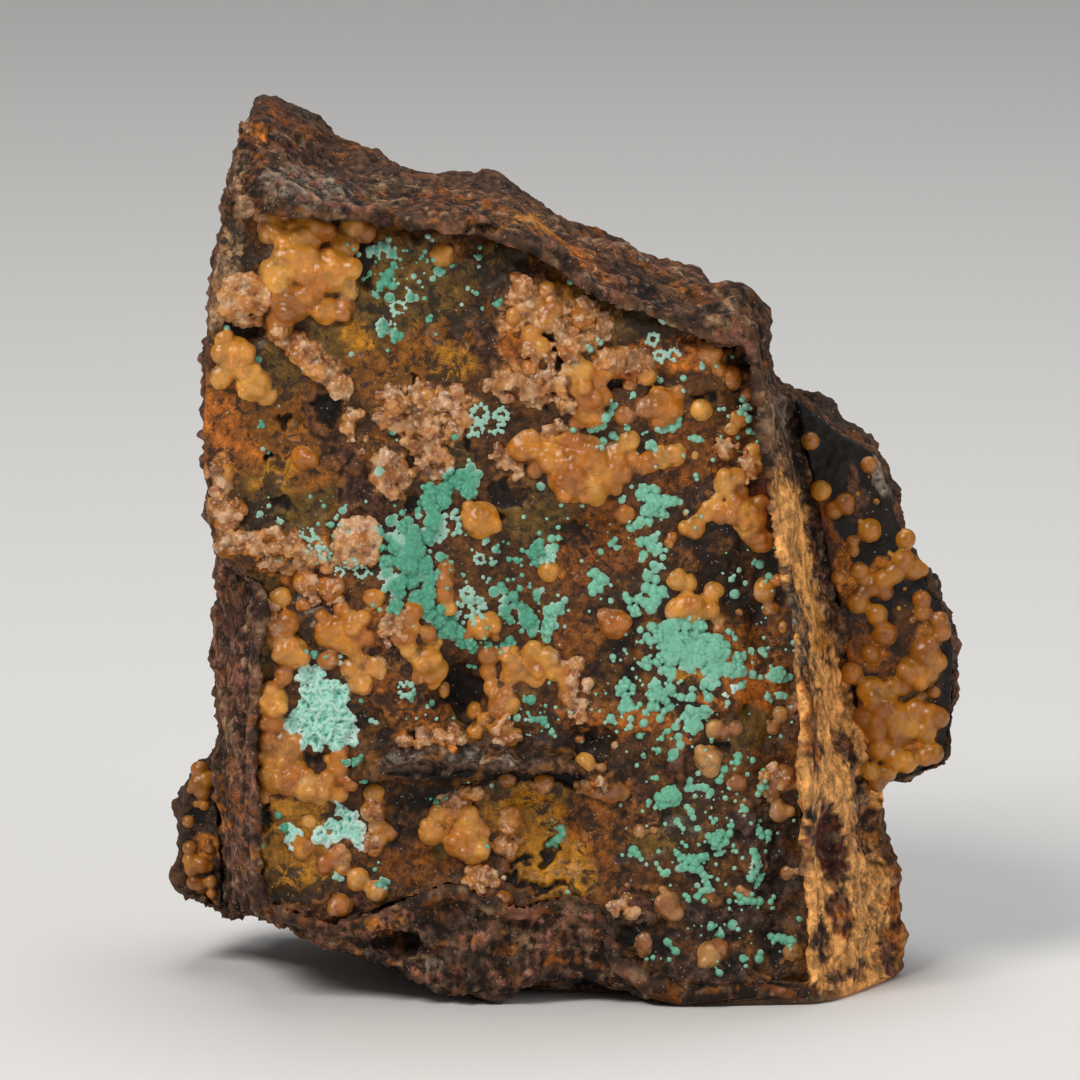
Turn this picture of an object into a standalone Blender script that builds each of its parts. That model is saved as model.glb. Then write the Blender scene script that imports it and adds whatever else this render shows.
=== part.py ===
"""Malachite on smithsonite, a cabinet specimen about 79 mm wide that stands on its lower edge.

A block of iron-rich rock carries a sunken vein face. A crust of smithsonite fills that face, with waxy
round lumps, and two smaller crusts lie on a shelf at the right and a knob at the lower left. Malachite
grew on the main crust in velvety balls, patches and two spongy pads.

X runs to the right, Y away from the front and Z up, with the base at Z = 0.
"""

import math

import bmesh
import bpy
from mathutils import Matrix, Vector, noise
from mathutils.bvhtree import BVHTree

MM = 0.001

# Clear distance between neighbouring pieces, and how deep the sunken faces lie, in mm.
GAP = 0.3
SPARE = 0.15
VEIN_FLOOR = -9.5
SHELF_FLOOR = -3.0
KNOB_FLOOR = 3.0
FRONT = -40.0
SHIFT = Vector((0.0, -2.5, 0.0))

# Heights in the lists below are read across a line of sight 10 degrees above level, in the plane Y = -15.
SIGHT = math.radians(10.0)
SIGHT_PLANE = -15.0

# Sizes of the modelling grid and triangle budgets.
ROCK_CELL = 1.0
CRUST_CELL = 0.5
BALL_CELL = 0.3
ROCK_FACES = 1500
CRUST_FACES = 3400
SHELF_FACES = 740
KNOB_FACES = 300
CLEARANCE_FACES = 3000
BALL_FACES_LEAST = 48
BALL_FACES_PER_AREA = 5.2

# The block, as outlines (x, z) at four depths, each clockwise from the lower left front corner.
BLOCK = [
    (-17.0, [
        (-30.8, 8.3), (-31.4, 17.9), (-31.8, 27.1), (-31.4, 36.2), (-31.0, 42.8), (-35.4, 46.5),
        (-35.6, 56.5), (-35.6, 66.6), (-34.4, 74.8), (-32.8, 82.0), (-28.6, 82.8), (-20.6, 80.8),
        (-11.6, 79.9), (-3.6, 78.0), (3.9, 73.2), (12.4, 69.7), (19.0, 67.9), (20.0, 59.5),
        (21.4, 49.4), (23.2, 39.2), (24.0, 29.1), (24.2, 18.9), (24.9, 9.8), (25.6, -4.0),
        (13.4, -4.0), (7.4, 1.4), (-2.6, 2.4), (-8.1, 0.4), (-14.6, 2.2), (-23.6, 4.5),
    ]),
    (-2.0, [
        (-34.4, 6.3), (-35.4, 15.3), (-36.2, 23.9), (-35.2, 33.5), (-34.4, 39.6), (-36.0, 43.9),
        (-36.2, 53.8), (-36.2, 64.0), (-35.4, 74.2), (-33.8, 84.2), (-32.2, 87.6), (-22.6, 82.9),
        (-11.6, 80.6), (-3.0, 78.6), (4.6, 74.2), (13.2, 70.4), (20.5, 67.0), (22.6, 58.9),
        (24.6, 48.8), (27.0, 38.6), (29.0, 28.5), (31.6, 18.3), (34.4, 8.2), (33.4, -4.0),
        (20.0, -4.0), (9.0, -2.0), (-2.0, -2.0), (-8.5, -2.0), (-15.0, 0.6), (-25.0, 4.0),
    ]),
    (12.0, [
        (-33.6, 7.5), (-35.0, 16.0), (-35.4, 25.0), (-34.8, 34.0), (-34.2, 41.0), (-35.0, 46.0),
        (-35.4, 55.0), (-35.2, 65.0), (-34.4, 75.0), (-33.0, 84.4), (-31.2, 88.4), (-22.0, 83.6),
        (-11.0, 79.5), (-3.0, 77.4), (4.8, 73.4), (13.0, 69.5), (20.0, 65.5), (23.0, 57.0),
        (26.0, 48.0), (28.6, 38.6), (30.6, 28.5), (32.2, 18.3), (34.0, 8.2), (32.4, -4.0),
        (20.0, -4.0), (9.0, -2.0), (-2.0, -2.0), (-9.0, -2.0), (-15.0, 0.5), (-25.0, 4.5),
    ]),
    (22.0, [
        (-30.0, 10.0), (-31.6, 18.0), (-32.0, 27.0), (-32.0, 35.0), (-32.0, 43.0), (-32.6, 50.0),
        (-33.0, 58.0), (-32.6, 67.0), (-31.4, 75.0), (-29.6, 82.0), (-27.6, 84.6), (-20.0, 81.3),
        (-10.6, 76.8), (-2.6, 75.4), (5.0, 72.0), (12.4, 69.2), (19.5, 64.2), (22.0, 55.0),
        (25.0, 46.0), (27.5, 37.0), (29.4, 28.0), (30.5, 18.0), (31.0, 9.0), (28.5, 0.6),
        (19.0, -1.0), (9.0, -1.0), (-2.0, -1.0), (-9.0, -0.4), (-15.0, 2.6), (-24.0, 6.0),
    ]),
]
SHELF = [
    (22.9, 59.9), (26.9, 56.6), (31.5, 54.1), (32.5, 51.0), (33.7, 47.0), (35.4, 43.4), (36.9, 39.8),
    (38.7, 36.3), (39.2, 32.2), (39.0, 27.1), (38.5, 21.8), (35.6, 21.1), (33.4, 20.1), (31.4, 18.7),
    (26.0, 18.0), (22.0, 30.0),
]
SHELF_BACK = 13.0
KNOB = [
    (-36.7, 21.2), (-38.0, 20.0), (-39.2, 15.6), (-39.5, 9.4), (-39.1, 7.7), (-36.8, 7.0), (-34.4, 4.6),
    (-32.0, 5.0), (-32.0, 21.0),
]
KNOB_BACK = 14.0

# Pits broken into the rock: centre and half sizes.
PITS = [
    ((27.6, -13.6, 16.6), (1.3, 3.0, 4.2)),
    ((28.0, -11.0, 26.5), (1.2, 1.8, 2.2)),
    ((-17.0, -18.2, 6.2), (2.7, 4.0, 1.3)),
    ((-33.4, -14.0, 81.0), (2.2, 3.6, 2.2)),
    ((-8.6, -17.6, 78.6), (1.7, 3.0, 1.1)),
    ((-36.6, -7.0, 20.0), (1.3, 1.6, 1.4)),
]

# The main crust's edge, clockwise from the top left. It is open at the left, where it reaches the side.
VEIN_EDGE = [
    (-30.4, 80.0), (-20.6, 79.3), (-11.1, 78.3), (-4.1, 76.4), (3.4, 71.9), (12.9, 67.8), (17.9, 66.3),
    (19.1, 59.2), (20.4, 49.0), (22.4, 38.9), (23.1, 30.8), (23.4, 20.6), (24.0, 10.5), (24.4, 1.8),
    (13.4, 1.5), (8.4, 2.2), (5.6, 4.2), (5.0, 7.6), (3.2, 10.0), (-0.6, 10.8), (-4.6, 9.9),
    (-8.6, 11.2), (-11.8, 12.4), (-14.6, 11.2), (-17.6, 10.3), (-20.1, 9.2), (-23.6, 8.2),
    (-27.6, 9.4), (-30.3, 11.0), (-30.9, 26.7), (-30.2, 36.8), (-29.8, 42.6), (-34.0, 45.4),
]
VEIN_LEFT = [(-35.1, 47.5), (-35.7, 57.1), (-35.5, 66.3), (-34.2, 73.6), (-32.6, 77.4)]
VEIN_LEFT_OPEN = [(-39.5, 46.4), (-39.5, 77.4)]
SHELF_EDGE = [
    (23.6, 58.6), (26.9, 55.8), (31.0, 53.4), (32.0, 50.6), (33.1, 46.8), (34.8, 43.2), (36.3, 39.6),
    (38.2, 36.3), (38.6, 32.2), (38.4, 27.4), (37.9, 22.6), (35.4, 21.9), (33.0, 20.9), (31.4, 20.0),
    (29.9, 28.5), (28.0, 38.6), (25.8, 48.8),
]
KNOB_EDGE = [
    (-36.8, 20.4), (-37.6, 19.4), (-38.7, 15.6), (-38.9, 9.6), (-38.4, 8.3), (-36.7, 7.8), (-35.3, 6.6),
    (-35.9, 15.4),
]

# Broad swells and hollows of the main crust: x, height, half width, half height, rise.
SWELLS = [
    (-1.0, 66.0, 7.5, 7.0, 2.4), (-22.6, 59.0, 5.0, 8.5, 1.8), (-19.0, 37.5, 7.5, 12.0, 2.4),
    (-30.5, 46.3, 7.0, 1.8, 1.6), (-27.0, 22.0, 6.0, 2.5, 1.0), (-26.0, 75.0, 6.0, 5.0, 1.0),
    (-29.6, 56.0, 5.0, 7.0, -1.2), (17.9, 39.0, 5.5, 8.0, -2.0), (-2.6, 17.0, 7.0, 5.0, -2.4),
    (-10.2, 31.0, 2.6, 3.6, -2.6), (2.0, 46.5, 5.0, 3.0, -1.2), (14.5, 54.0, 4.0, 4.0, -1.2),
    (-12.0, 70.0, 5.0, 5.0, -0.8), (18.0, 8.5, 6.0, 3.0, -1.6), (-32.0, 68.2, 1.8, 1.6, -2.0),
    (12.5, 33.0, 7.0, 5.0, 1.0), (2.5, 54.0, 5.0, 4.0, 0.8), (-16.5, 13.0, 5.0, 3.0, -1.2),
]
# The dark ledge that crosses the lower middle: its line (x, height), half height and rise.
LEDGE = [(-20.0, 23.4), (-13.0, 23.2), (-6.5, 23.6), (0.0, 24.4), (3.0, 22.6)]
LEDGE_HALF = 1.2
LEDGE_RISE = 3.4

# Smithsonite lumps of the main crust: x, height along the sight line, radius.
LUMPS = [
    (-29.4, 77.2, 1.6), (-26.0, 77.2, 2.2), (-24.5, 77.0, 1.5), (-23.5, 73.1, 2.6), (-26.8, 74.0, 2.2),
    (-28.8, 72.7, 1.9), (-24.0, 69.3, 1.6), (-22.3, 69.5, 1.3), (-27.5, 69.9, 2.0), (-28.5, 68.4, 1.5),
    (-21.5, 77.4, 1.3), (-20.0, 76.9, 1.2), (-32.4, 71.2, 1.9), (-33.0, 64.5, 2.1), (-31.2, 61.9, 1.9),
    (-28.5, 67.0, 1.6), (-26.5, 65.0, 1.6), (-24.5, 63.2, 1.6), (-22.5, 61.5, 1.5), (-12.5, 74.8, 1.3),
    (-4.3, 71.2, 1.1), (-3.1, 70.0, 1.1), (-1.8, 68.5, 1.4), (-3.5, 66.8, 1.1), (-2.5, 65.5, 1.0),
    (-5.8, 62.5, 1.2), (-1.9, 71.2, 1.0), (1.8, 68.9, 1.4), (1.5, 63.0, 1.4), (2.3, 59.2, 1.7),
    (4.5, 64.0, 1.5), (8.0, 63.0, 1.2), (9.8, 59.6, 2.0), (8.0, 59.6, 1.2), (5.8, 58.8, 1.1),
    (14.3, 65.0, 1.3), (16.5, 62.5, 1.2), (13.5, 59.3, 1.1), (17.2, 58.5, 1.1), (-26.2, 54.6, 1.3),
    (-34.3, 53.0, 1.2), (-33.3, 49.5, 1.4), (-34.0, 48.0, 1.3), (-20.7, 46.2, 2.8), (-17.0, 60.0, 1.7),
    (-14.0, 60.5, 1.8), (-14.0, 57.5, 1.6), (-11.0, 57.8, 1.1), (-13.0, 54.0, 1.7), (-17.0, 53.5, 1.2),
    (-4.4, 55.6, 1.6), (-1.5, 56.8, 1.2), (-1.5, 54.5, 1.8), (0.5, 52.5, 2.3), (-9.2, 48.9, 1.4),
    (-8.5, 48.3, 1.8), (2.0, 54.5, 2.4), (0.5, 56.0, 1.4), (5.0, 55.2, 1.3), (4.5, 54.0, 1.6),
    (3.5, 53.0, 2.0), (2.5, 51.8, 2.0), (0.8, 51.3, 1.3), (3.0, 50.9, 1.2), (5.5, 53.0, 1.3),
    (6.2, 56.3, 1.2), (8.3, 54.1, 1.2), (9.5, 54.6, 1.3), (10.8, 55.0, 1.3), (5.9, 49.0, 1.1),
    (12.7, 47.7, 1.3), (14.3, 49.3, 1.2), (15.5, 49.0, 1.2), (16.6, 49.3, 1.3), (17.5, 49.7, 1.4),
    (18.7, 48.6, 1.5), (18.3, 47.5, 1.4), (19.0, 46.8, 1.3), (19.6, 46.2, 1.2), (16.0, 51.8, 1.3),
    (17.0, 52.5, 1.1), (18.8, 53.9, 1.2), (18.6, 55.1, 1.1), (16.0, 55.2, 1.0), (11.0, 42.4, 1.2),
    (12.2, 42.0, 1.0), (14.8, 41.2, 1.0), (19.9, 41.3, 1.2), (12.0, 39.7, 1.6), (10.8, 39.4, 1.2),
    (13.5, 39.5, 1.4), (14.4, 40.0, 1.0), (12.5, 38.9, 1.1), (4.8, 38.0, 1.7), (20.6, 39.5, 1.0),
    (-7.8, 34.8, 1.2), (-7.7, 33.2, 1.0), (-5.8, 35.0, 1.1), (-5.2, 34.0, 1.3), (-5.5, 32.7, 1.1),
    (-3.2, 34.7, 1.3), (-2.9, 33.6, 1.5), (-1.6, 34.5, 1.2), (-3.0, 32.4, 1.0), (0.3, 33.5, 1.0),
    (0.3, 32.0, 1.1), (0.2, 30.8, 1.0), (-6.6, 29.7, 1.3), (-5.5, 29.8, 1.0), (-6.5, 27.3, 1.2),
    (-6.0, 26.3, 1.2), (-9.0, 29.0, 1.1), (-9.0, 27.0, 1.0), (-15.5, 39.2, 1.2), (-16.2, 38.2, 1.2),
    (-16.3, 36.8, 1.3), (-15.8, 35.5, 1.0), (-14.0, 37.0, 1.0), (-14.0, 34.2, 1.7), (-13.2, 33.4, 1.4),
    (-13.5, 32.3, 1.0), (-12.6, 31.3, 1.0), (-12.0, 43.5, 1.0), (-12.2, 42.2, 1.1), (-12.2, 40.8, 1.1),
    (-11.9, 39.6, 1.0), (-8.8, 37.6, 1.3), (-7.6, 38.0, 1.3), (-1.7, 43.2, 1.2), (-27.8, 38.0, 1.2),
    (-29.0, 37.5, 1.3), (-27.5, 35.1, 1.7), (-28.3, 32.7, 1.1), (-29.4, 30.1, 1.7), (-29.6, 28.0, 1.3),
    (-29.8, 26.2, 1.3), (-28.4, 25.8, 1.8), (-23.5, 37.2, 1.8), (-21.2, 38.0, 1.5), (-21.6, 36.3, 1.5),
    (-23.8, 34.3, 1.1), (-21.6, 33.4, 1.2), (-20.5, 32.2, 1.5), (-19.0, 33.7, 1.3), (-19.2, 40.4, 1.1),
    (-26.0, 42.3, 2.0), (-23.5, 41.5, 1.8), (-28.6, 40.6, 1.1), (-28.0, 24.8, 2.0), (-29.4, 24.4, 1.6),
    (-29.4, 22.2, 1.4), (-27.9, 22.0, 1.4), (-26.0, 21.6, 1.6), (-24.4, 21.5, 1.4), (-23.0, 20.9, 1.1),
    (-22.7, 24.9, 1.1), (-22.7, 23.4, 1.3), (-19.3, 21.0, 1.1), (-19.2, 20.0, 1.1), (-19.5, 19.1, 1.1),
    (-19.0, 17.6, 1.0), (-17.8, 17.0, 1.0), (-19.0, 16.2, 1.0), (-26.6, 15.6, 1.2), (-24.3, 13.7, 1.1),
    (-23.3, 14.6, 1.3), (-22.4, 14.6, 1.0), (-9.8, 21.0, 1.1), (-11.5, 19.2, 1.1), (-12.8, 18.8, 1.1),
    (-13.5, 17.0, 1.3), (-9.7, 18.7, 1.0), (-9.9, 16.9, 2.0), (-9.5, 15.5, 1.8), (-10.6, 15.8, 1.6),
    (-5.9, 18.2, 1.3), (-6.4, 15.6, 1.2), (1.9, 23.9, 1.1), (4.5, 21.2, 1.3), (14.2, 24.4, 1.5),
    (14.4, 23.5, 1.1), (17.1, 22.0, 1.0), (21.6, 22.4, 1.4), (20.8, 21.4, 1.0), (21.4, 19.0, 1.1),
    (14.9, 27.4, 1.2), (10.2, 9.6, 1.3), (10.8, 8.8, 1.0), (7.8, 5.8, 1.1), (14.5, 4.6, 1.4),
    (15.3, 5.1, 1.2), (22.4, 12.9, 1.1), (22.9, 4.8, 1.0),
]

# Lumps on the shelf and on the knob.
SHELF_LUMPS = [
    (24.6, 56.3, 1.0), (25.7, 51.3, 1.1), (28.1, 50.0, 1.1), (27.0, 49.3, 1.0), (30.5, 53.9, 0.9),
    (30.6, 47.3, 1.3), (34.2, 46.4, 1.1), (34.0, 44.2, 1.3), (35.0, 43.4, 1.2), (33.0, 43.0, 1.2),
    (32.0, 42.2, 1.2), (31.0, 41.6, 1.1), (29.6, 43.2, 1.0), (35.9, 40.3, 1.0), (36.0, 39.0, 1.0),
    (37.6, 38.2, 1.0), (37.9, 37.0, 1.0), (32.2, 36.9, 1.4), (31.4, 38.8, 1.2), (28.9, 32.9, 1.2),
    (30.8, 34.8, 1.0), (37.5, 34.0, 1.1), (36.2, 35.0, 1.7), (35.0, 33.0, 1.8), (36.5, 33.0, 1.3),
    (30.8, 31.2, 1.5), (33.0, 31.5, 1.1), (32.0, 29.5, 1.7), (30.3, 28.4, 1.3), (31.5, 27.3, 1.5),
    (33.3, 28.3, 1.9), (34.5, 27.4, 1.4), (35.4, 29.2, 1.3), (36.8, 28.6, 1.3), (37.6, 28.4, 1.2),
    (36.3, 27.0, 1.2), (33.2, 26.5, 1.4), (31.8, 25.2, 1.2), (33.4, 24.2, 1.4), (34.4, 23.9, 1.2),
    (37.1, 24.8, 1.2), (36.3, 24.5, 1.1),
]
KNOB_LUMPS = [
    (-37.0, 22.6, 1.0), (-37.2, 21.4, 1.0), (-38.0, 17.8, 0.9), (-38.0, 15.0, 0.9), (-38.0, 13.8, 0.9),
    (-37.0, 13.2, 0.9), (-37.5, 11.7, 0.8),
]

# Malachite growths: balls as x, height along the sight line, radius. Each growth is one joined solid.
MALACHITE = {
    "malachite_upper_left": [
        (-20.6, 75.0, 0.9), (-19.3, 75.2, 1.0), (-18.2, 75.6, 0.9), (-17.3, 75.0, 1.0),
        (-18.3, 74.2, 0.9), (-17.8, 73.3, 1.0), (-19.2, 72.9, 1.0), (-18.2, 71.8, 1.0),
        (-18.6, 70.8, 0.8), (-17.6, 70.7, 0.8),
    ],
    "malachite_lace_centre": [
        (-9.0, 59.3, 0.8), (-8.0, 59.4, 0.8), (-7.3, 59.0, 0.8), (-9.3, 58.2, 0.8), (-8.3, 57.9, 0.8),
        (-7.3, 57.6, 0.8), (-6.1, 57.9, 0.7), (-8.8, 57.0, 0.7),
    ],
    "malachite_left_patch": [
        (-9.9, 52.8, 0.9), (-9.3, 52.1, 0.9), (-9.7, 51.1, 0.9), (-10.6, 51.8, 0.8), (-11.5, 52.4, 0.8),
        (-12.2, 51.2, 1.1), (-13.6, 51.0, 0.8), (-13.8, 50.0, 0.8), (-12.5, 50.2, 1.1),
        (-13.3, 49.2, 0.9), (-13.3, 48.2, 1.1), (-13.7, 46.8, 1.2), (-15.5, 46.8, 1.3),
        (-15.4, 45.3, 1.6), (-16.9, 45.6, 1.0), (-16.0, 44.0, 1.4), (-14.4, 43.8, 1.4),
        (-17.0, 42.1, 1.3), (-15.5, 42.4, 1.3), (-13.7, 42.3, 0.8), (-13.8, 41.0, 1.0),
        (-16.8, 41.0, 0.9), (-15.0, 40.5, 0.9), (-14.0, 40.0, 1.0), (-17.0, 39.8, 0.8),
        (-13.8, 39.0, 1.0), (-12.9, 38.3, 1.2), (-12.0, 37.4, 1.3), (-11.0, 37.1, 1.2),
        (-10.6, 36.2, 0.8), (-9.6, 36.0, 0.8),
    ],
    "malachite_lace_left": [
        (-26.2, 47.2, 0.7), (-25.4, 46.5, 0.8), (-24.6, 45.7, 0.8), (-24.0, 44.9, 0.8), (-23.3, 44.2, 0.7),
    ],
    "malachite_ring": [
        (-10.9, 40.2, 0.7), (-11.0, 39.3, 0.7), (-10.4, 38.6, 0.7), (-9.4, 38.3, 0.8),
        (-8.4, 38.1, 0.8), (-7.9, 38.7, 0.7), (-8.0, 39.5, 0.7), (-8.5, 40.2, 0.7), (-9.3, 40.9, 0.7),
        (-10.2, 41.1, 0.7),
    ],
    "malachite_centre_balls": [
        (-7.2, 41.1, 0.8), (-6.5, 41.6, 0.7), (-6.1, 41.0, 0.8), (-5.3, 40.7, 0.8), (-6.1, 40.2, 0.8),
        (-6.3, 39.5, 0.8), (-5.9, 39.0, 0.8), (-5.7, 38.4, 0.7),
    ],
    "malachite_centre_pair": [(-4.1, 39.0, 1.0), (-3.8, 38.3, 1.2), (-3.4, 37.7, 1.0), (-4.5, 39.7, 0.7)],
    "malachite_centre_branch": [
        (-0.7, 39.6, 0.9), (-1.2, 39.2, 0.9), (-1.6, 38.4, 0.9), (-1.9, 37.2, 0.9), (-1.9, 36.4, 0.8),
    ],
    "malachite_row": [
        (-7.6, 35.8, 0.7), (-6.9, 35.7, 0.7), (-6.3, 35.8, 0.7), (-5.7, 36.2, 0.8), (-5.1, 35.9, 0.7),
    ],
    "malachite_upper_centre": [
        (4.6, 59.6, 0.8), (4.0, 58.7, 0.8), (3.6, 57.8, 0.9), (2.7, 57.5, 0.8), (4.6, 57.0, 0.8),
        (3.7, 56.4, 0.8), (3.5, 55.7, 0.7),
    ],
    "malachite_crescent": [(9.2, 57.4, 0.7), (9.9, 57.4, 0.7), (10.6, 57.5, 0.8), (11.2, 57.9, 0.7)],
    "malachite_star": [
        (7.8, 51.4, 0.9), (7.4, 51.0, 0.8), (8.3, 50.6, 0.9), (9.0, 50.3, 1.0), (10.0, 50.2, 0.9),
        (10.8, 50.2, 0.8), (11.3, 50.1, 0.6), (8.6, 49.4, 1.0), (9.4, 49.2, 0.9), (8.0, 49.3, 0.9),
        (7.5, 48.3, 0.8), (6.7, 47.8, 0.8),
    ],
    "malachite_centre_column": [
        (7.5, 46.0, 0.8), (8.2, 46.1, 0.8), (8.8, 46.5, 0.8), (8.6, 45.5, 0.9), (9.2, 45.3, 0.8),
        (7.8, 44.8, 0.8), (8.8, 44.0, 0.9), (9.5, 43.7, 0.7), (8.2, 42.7, 0.9), (9.0, 42.4, 0.8),
        (8.0, 41.5, 0.9), (8.7, 41.2, 0.9), (9.6, 41.2, 0.8), (9.0, 40.2, 0.9), (8.0, 40.0, 0.9),
        (7.2, 40.4, 0.8), (7.0, 39.3, 0.9), (8.5, 39.4, 0.9), (8.7, 43.3, 0.8),
    ],
    "malachite_small_fan": [
        (2.9, 43.0, 0.8), (3.5, 42.5, 0.8), (3.0, 41.8, 0.9), (3.8, 42.3, 0.8), (2.6, 41.6, 0.8),
    ],
    "malachite_right_patch": [
        (10.0, 37.4, 1.0), (10.8, 37.8, 1.0), (11.8, 37.8, 0.9), (12.8, 37.8, 0.8), (13.5, 37.7, 0.8),
        (10.2, 36.7, 0.9), (9.7, 35.8, 0.8), (11.0, 36.4, 1.0), (11.8, 36.5, 0.8), (11.0, 35.5, 1.2),
        (10.6, 34.6, 1.1), (11.8, 34.8, 1.2), (12.0, 33.8, 1.0), (10.4, 33.4, 0.9), (14.0, 36.1, 1.2),
        (15.0, 36.0, 1.2), (13.5, 35.3, 1.2), (14.6, 35.0, 1.4), (15.6, 35.0, 1.1), (14.8, 34.0, 1.2),
        (13.2, 34.3, 1.1), (15.3, 33.4, 1.1), (16.2, 33.3, 1.0), (16.9, 33.2, 0.9), (17.5, 33.3, 0.9),
        (17.1, 34.4, 0.9), (14.8, 32.5, 0.9), (14.2, 31.9, 0.8),
    ],
    "malachite_trail_left": [
        (5.8, 31.6, 0.9), (6.7, 31.5, 0.8), (5.9, 30.8, 0.8), (6.1, 29.9, 1.0), (5.7, 29.5, 0.8),
    ],
    "malachite_trail_middle": [
        (9.0, 31.7, 1.0), (8.7, 30.8, 1.0), (9.5, 30.8, 1.0), (10.5, 31.4, 0.8), (10.1, 30.3, 0.8),
        (8.7, 29.7, 0.9), (9.6, 29.3, 0.8), (10.3, 29.6, 0.8), (9.4, 28.6, 0.7),
    ],
    "malachite_trail_right": [
        (14.0, 29.4, 0.8), (13.8, 28.9, 0.8), (13.1, 28.9, 0.8), (12.5, 29.2, 0.8), (12.1, 28.7, 0.8),
        (12.7, 27.8, 1.1), (12.0, 27.7, 0.8), (11.2, 27.5, 0.7),
    ],
    "malachite_edge_ball": [(21.1, 32.8, 1.2), (21.5, 32.5, 0.9), (20.6, 32.6, 0.8)],
    "malachite_large_ball": [
        (10.5, 20.8, 1.4), (9.9, 20.3, 1.2), (9.4, 20.5, 0.9), (10.8, 20.3, 1.1), (8.6, 20.2, 0.7),
    ],
    "malachite_lower_trail": [
        (12.4, 22.1, 0.7), (12.4, 21.4, 0.7), (13.2, 21.4, 0.7), (14.0, 21.4, 0.7), (14.5, 21.0, 0.7),
    ],
    "malachite_lower_star": [
        (11.3, 14.7, 0.7), (11.9, 14.4, 0.7), (12.4, 14.2, 0.7), (12.9, 13.9, 0.8), (13.6, 14.4, 0.8),
        (11.7, 13.4, 0.7), (12.2, 13.4, 0.7), (12.8, 13.3, 0.8), (13.4, 13.0, 0.8), (14.0, 12.3, 0.8),
        (14.2, 11.7, 0.7), (14.2, 11.1, 0.7),
    ],
    "malachite_lower_ball": [(15.0, 16.3, 1.0), (15.2, 15.8, 0.9), (15.7, 16.9, 0.7), (16.4, 16.9, 0.7)],
    "malachite_lower_right": [
        (18.8, 15.0, 0.8), (19.0, 14.3, 0.8), (19.1, 13.5, 0.8), (18.8, 12.7, 0.8), (19.4, 12.3, 0.8),
    ],
    "malachite_bottom": [(17.6, 10.5, 0.8), (18.4, 10.1, 0.8), (19.3, 10.0, 0.8)],
    "malachite_corner": [(21.0, 6.2, 0.7), (21.6, 6.1, 0.8), (22.3, 6.0, 0.9), (22.9, 6.0, 0.8)],
    "malachite_mint_pad": [
        (-26.4, 33.5, 0.9), (-25.7, 33.0, 1.1), (-24.6, 32.4, 1.2), (-26.6, 32.3, 0.9),
        (-23.3, 31.6, 1.3), (-25.5, 31.0, 1.4), (-26.3, 29.8, 1.3), (-24.0, 30.0, 1.6),
        (-22.6, 30.3, 1.2), (-27.3, 28.6, 1.3), (-25.5, 28.5, 1.6), (-23.5, 28.4, 1.5),
        (-22.0, 28.5, 1.2), (-27.3, 27.0, 1.2), (-25.7, 26.7, 1.5), (-24.0, 26.9, 1.4),
        (-22.4, 27.0, 1.2), (-21.3, 27.3, 0.9), (-21.4, 26.2, 0.8),
    ],
    "malachite_mint_pad_lower": [
        (-22.8, 19.2, 0.8), (-22.1, 19.0, 0.9), (-21.2, 18.8, 0.8), (-23.8, 17.8, 0.9),
        (-23.0, 17.4, 1.0), (-22.0, 17.6, 1.1), (-20.9, 17.4, 1.0), (-24.8, 16.9, 0.9),
        (-24.9, 16.3, 0.8), (-24.0, 16.1, 0.8), (-23.2, 16.4, 0.9), (-22.2, 16.5, 0.9),
        (-21.1, 16.3, 0.9), (-20.6, 15.7, 0.8),
    ],
    "malachite_mint_small": [
        (-28.3, 17.6, 0.8), (-28.0, 16.9, 0.8), (-27.5, 17.3, 0.8), (-26.8, 17.0, 0.8), (-27.7, 16.2, 0.7),
    ],
    "malachite_ochre_patch": [(-0.5, 17.2, 0.7), (-0.4, 16.7, 0.7), (-0.9, 16.2, 0.8), (-1.6, 15.9, 0.8)],
}
BALL_STAND = 0.3

# Base colour and roughness of each stone.
STONE_LOOKS = {
    "gossan": ((0.075, 0.040, 0.030), 0.85),
    "smithsonite": ((0.56, 0.25, 0.06), 0.35),
    "malachite": ((0.13, 0.45, 0.29), 0.8),
    "pale_malachite": ((0.37, 0.74, 0.56), 0.85),
}


def true_height(seen, depth):
    """Height above the base of a point that is seen at a height along the sight line, at that depth."""
    return (seen - (depth - SIGHT_PLANE) * math.sin(SIGHT)) / math.cos(SIGHT)


def bell(distance):
    """1 at the middle of a swell, falling smoothly to 0 at about twice its half size."""
    return math.exp(-1.2 * distance * distance)


def ledge_height(x):
    """Height of the dark ledge's line at x."""
    for (x0, z0), (x1, z1) in zip(LEDGE, LEDGE[1:]):
        if x <= x1:
            share = max(0.0, min(1.0, (x - x0) / (x1 - x0)))
            return z0 + (z1 - z0) * share
    return LEDGE[-1][1]


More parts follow.
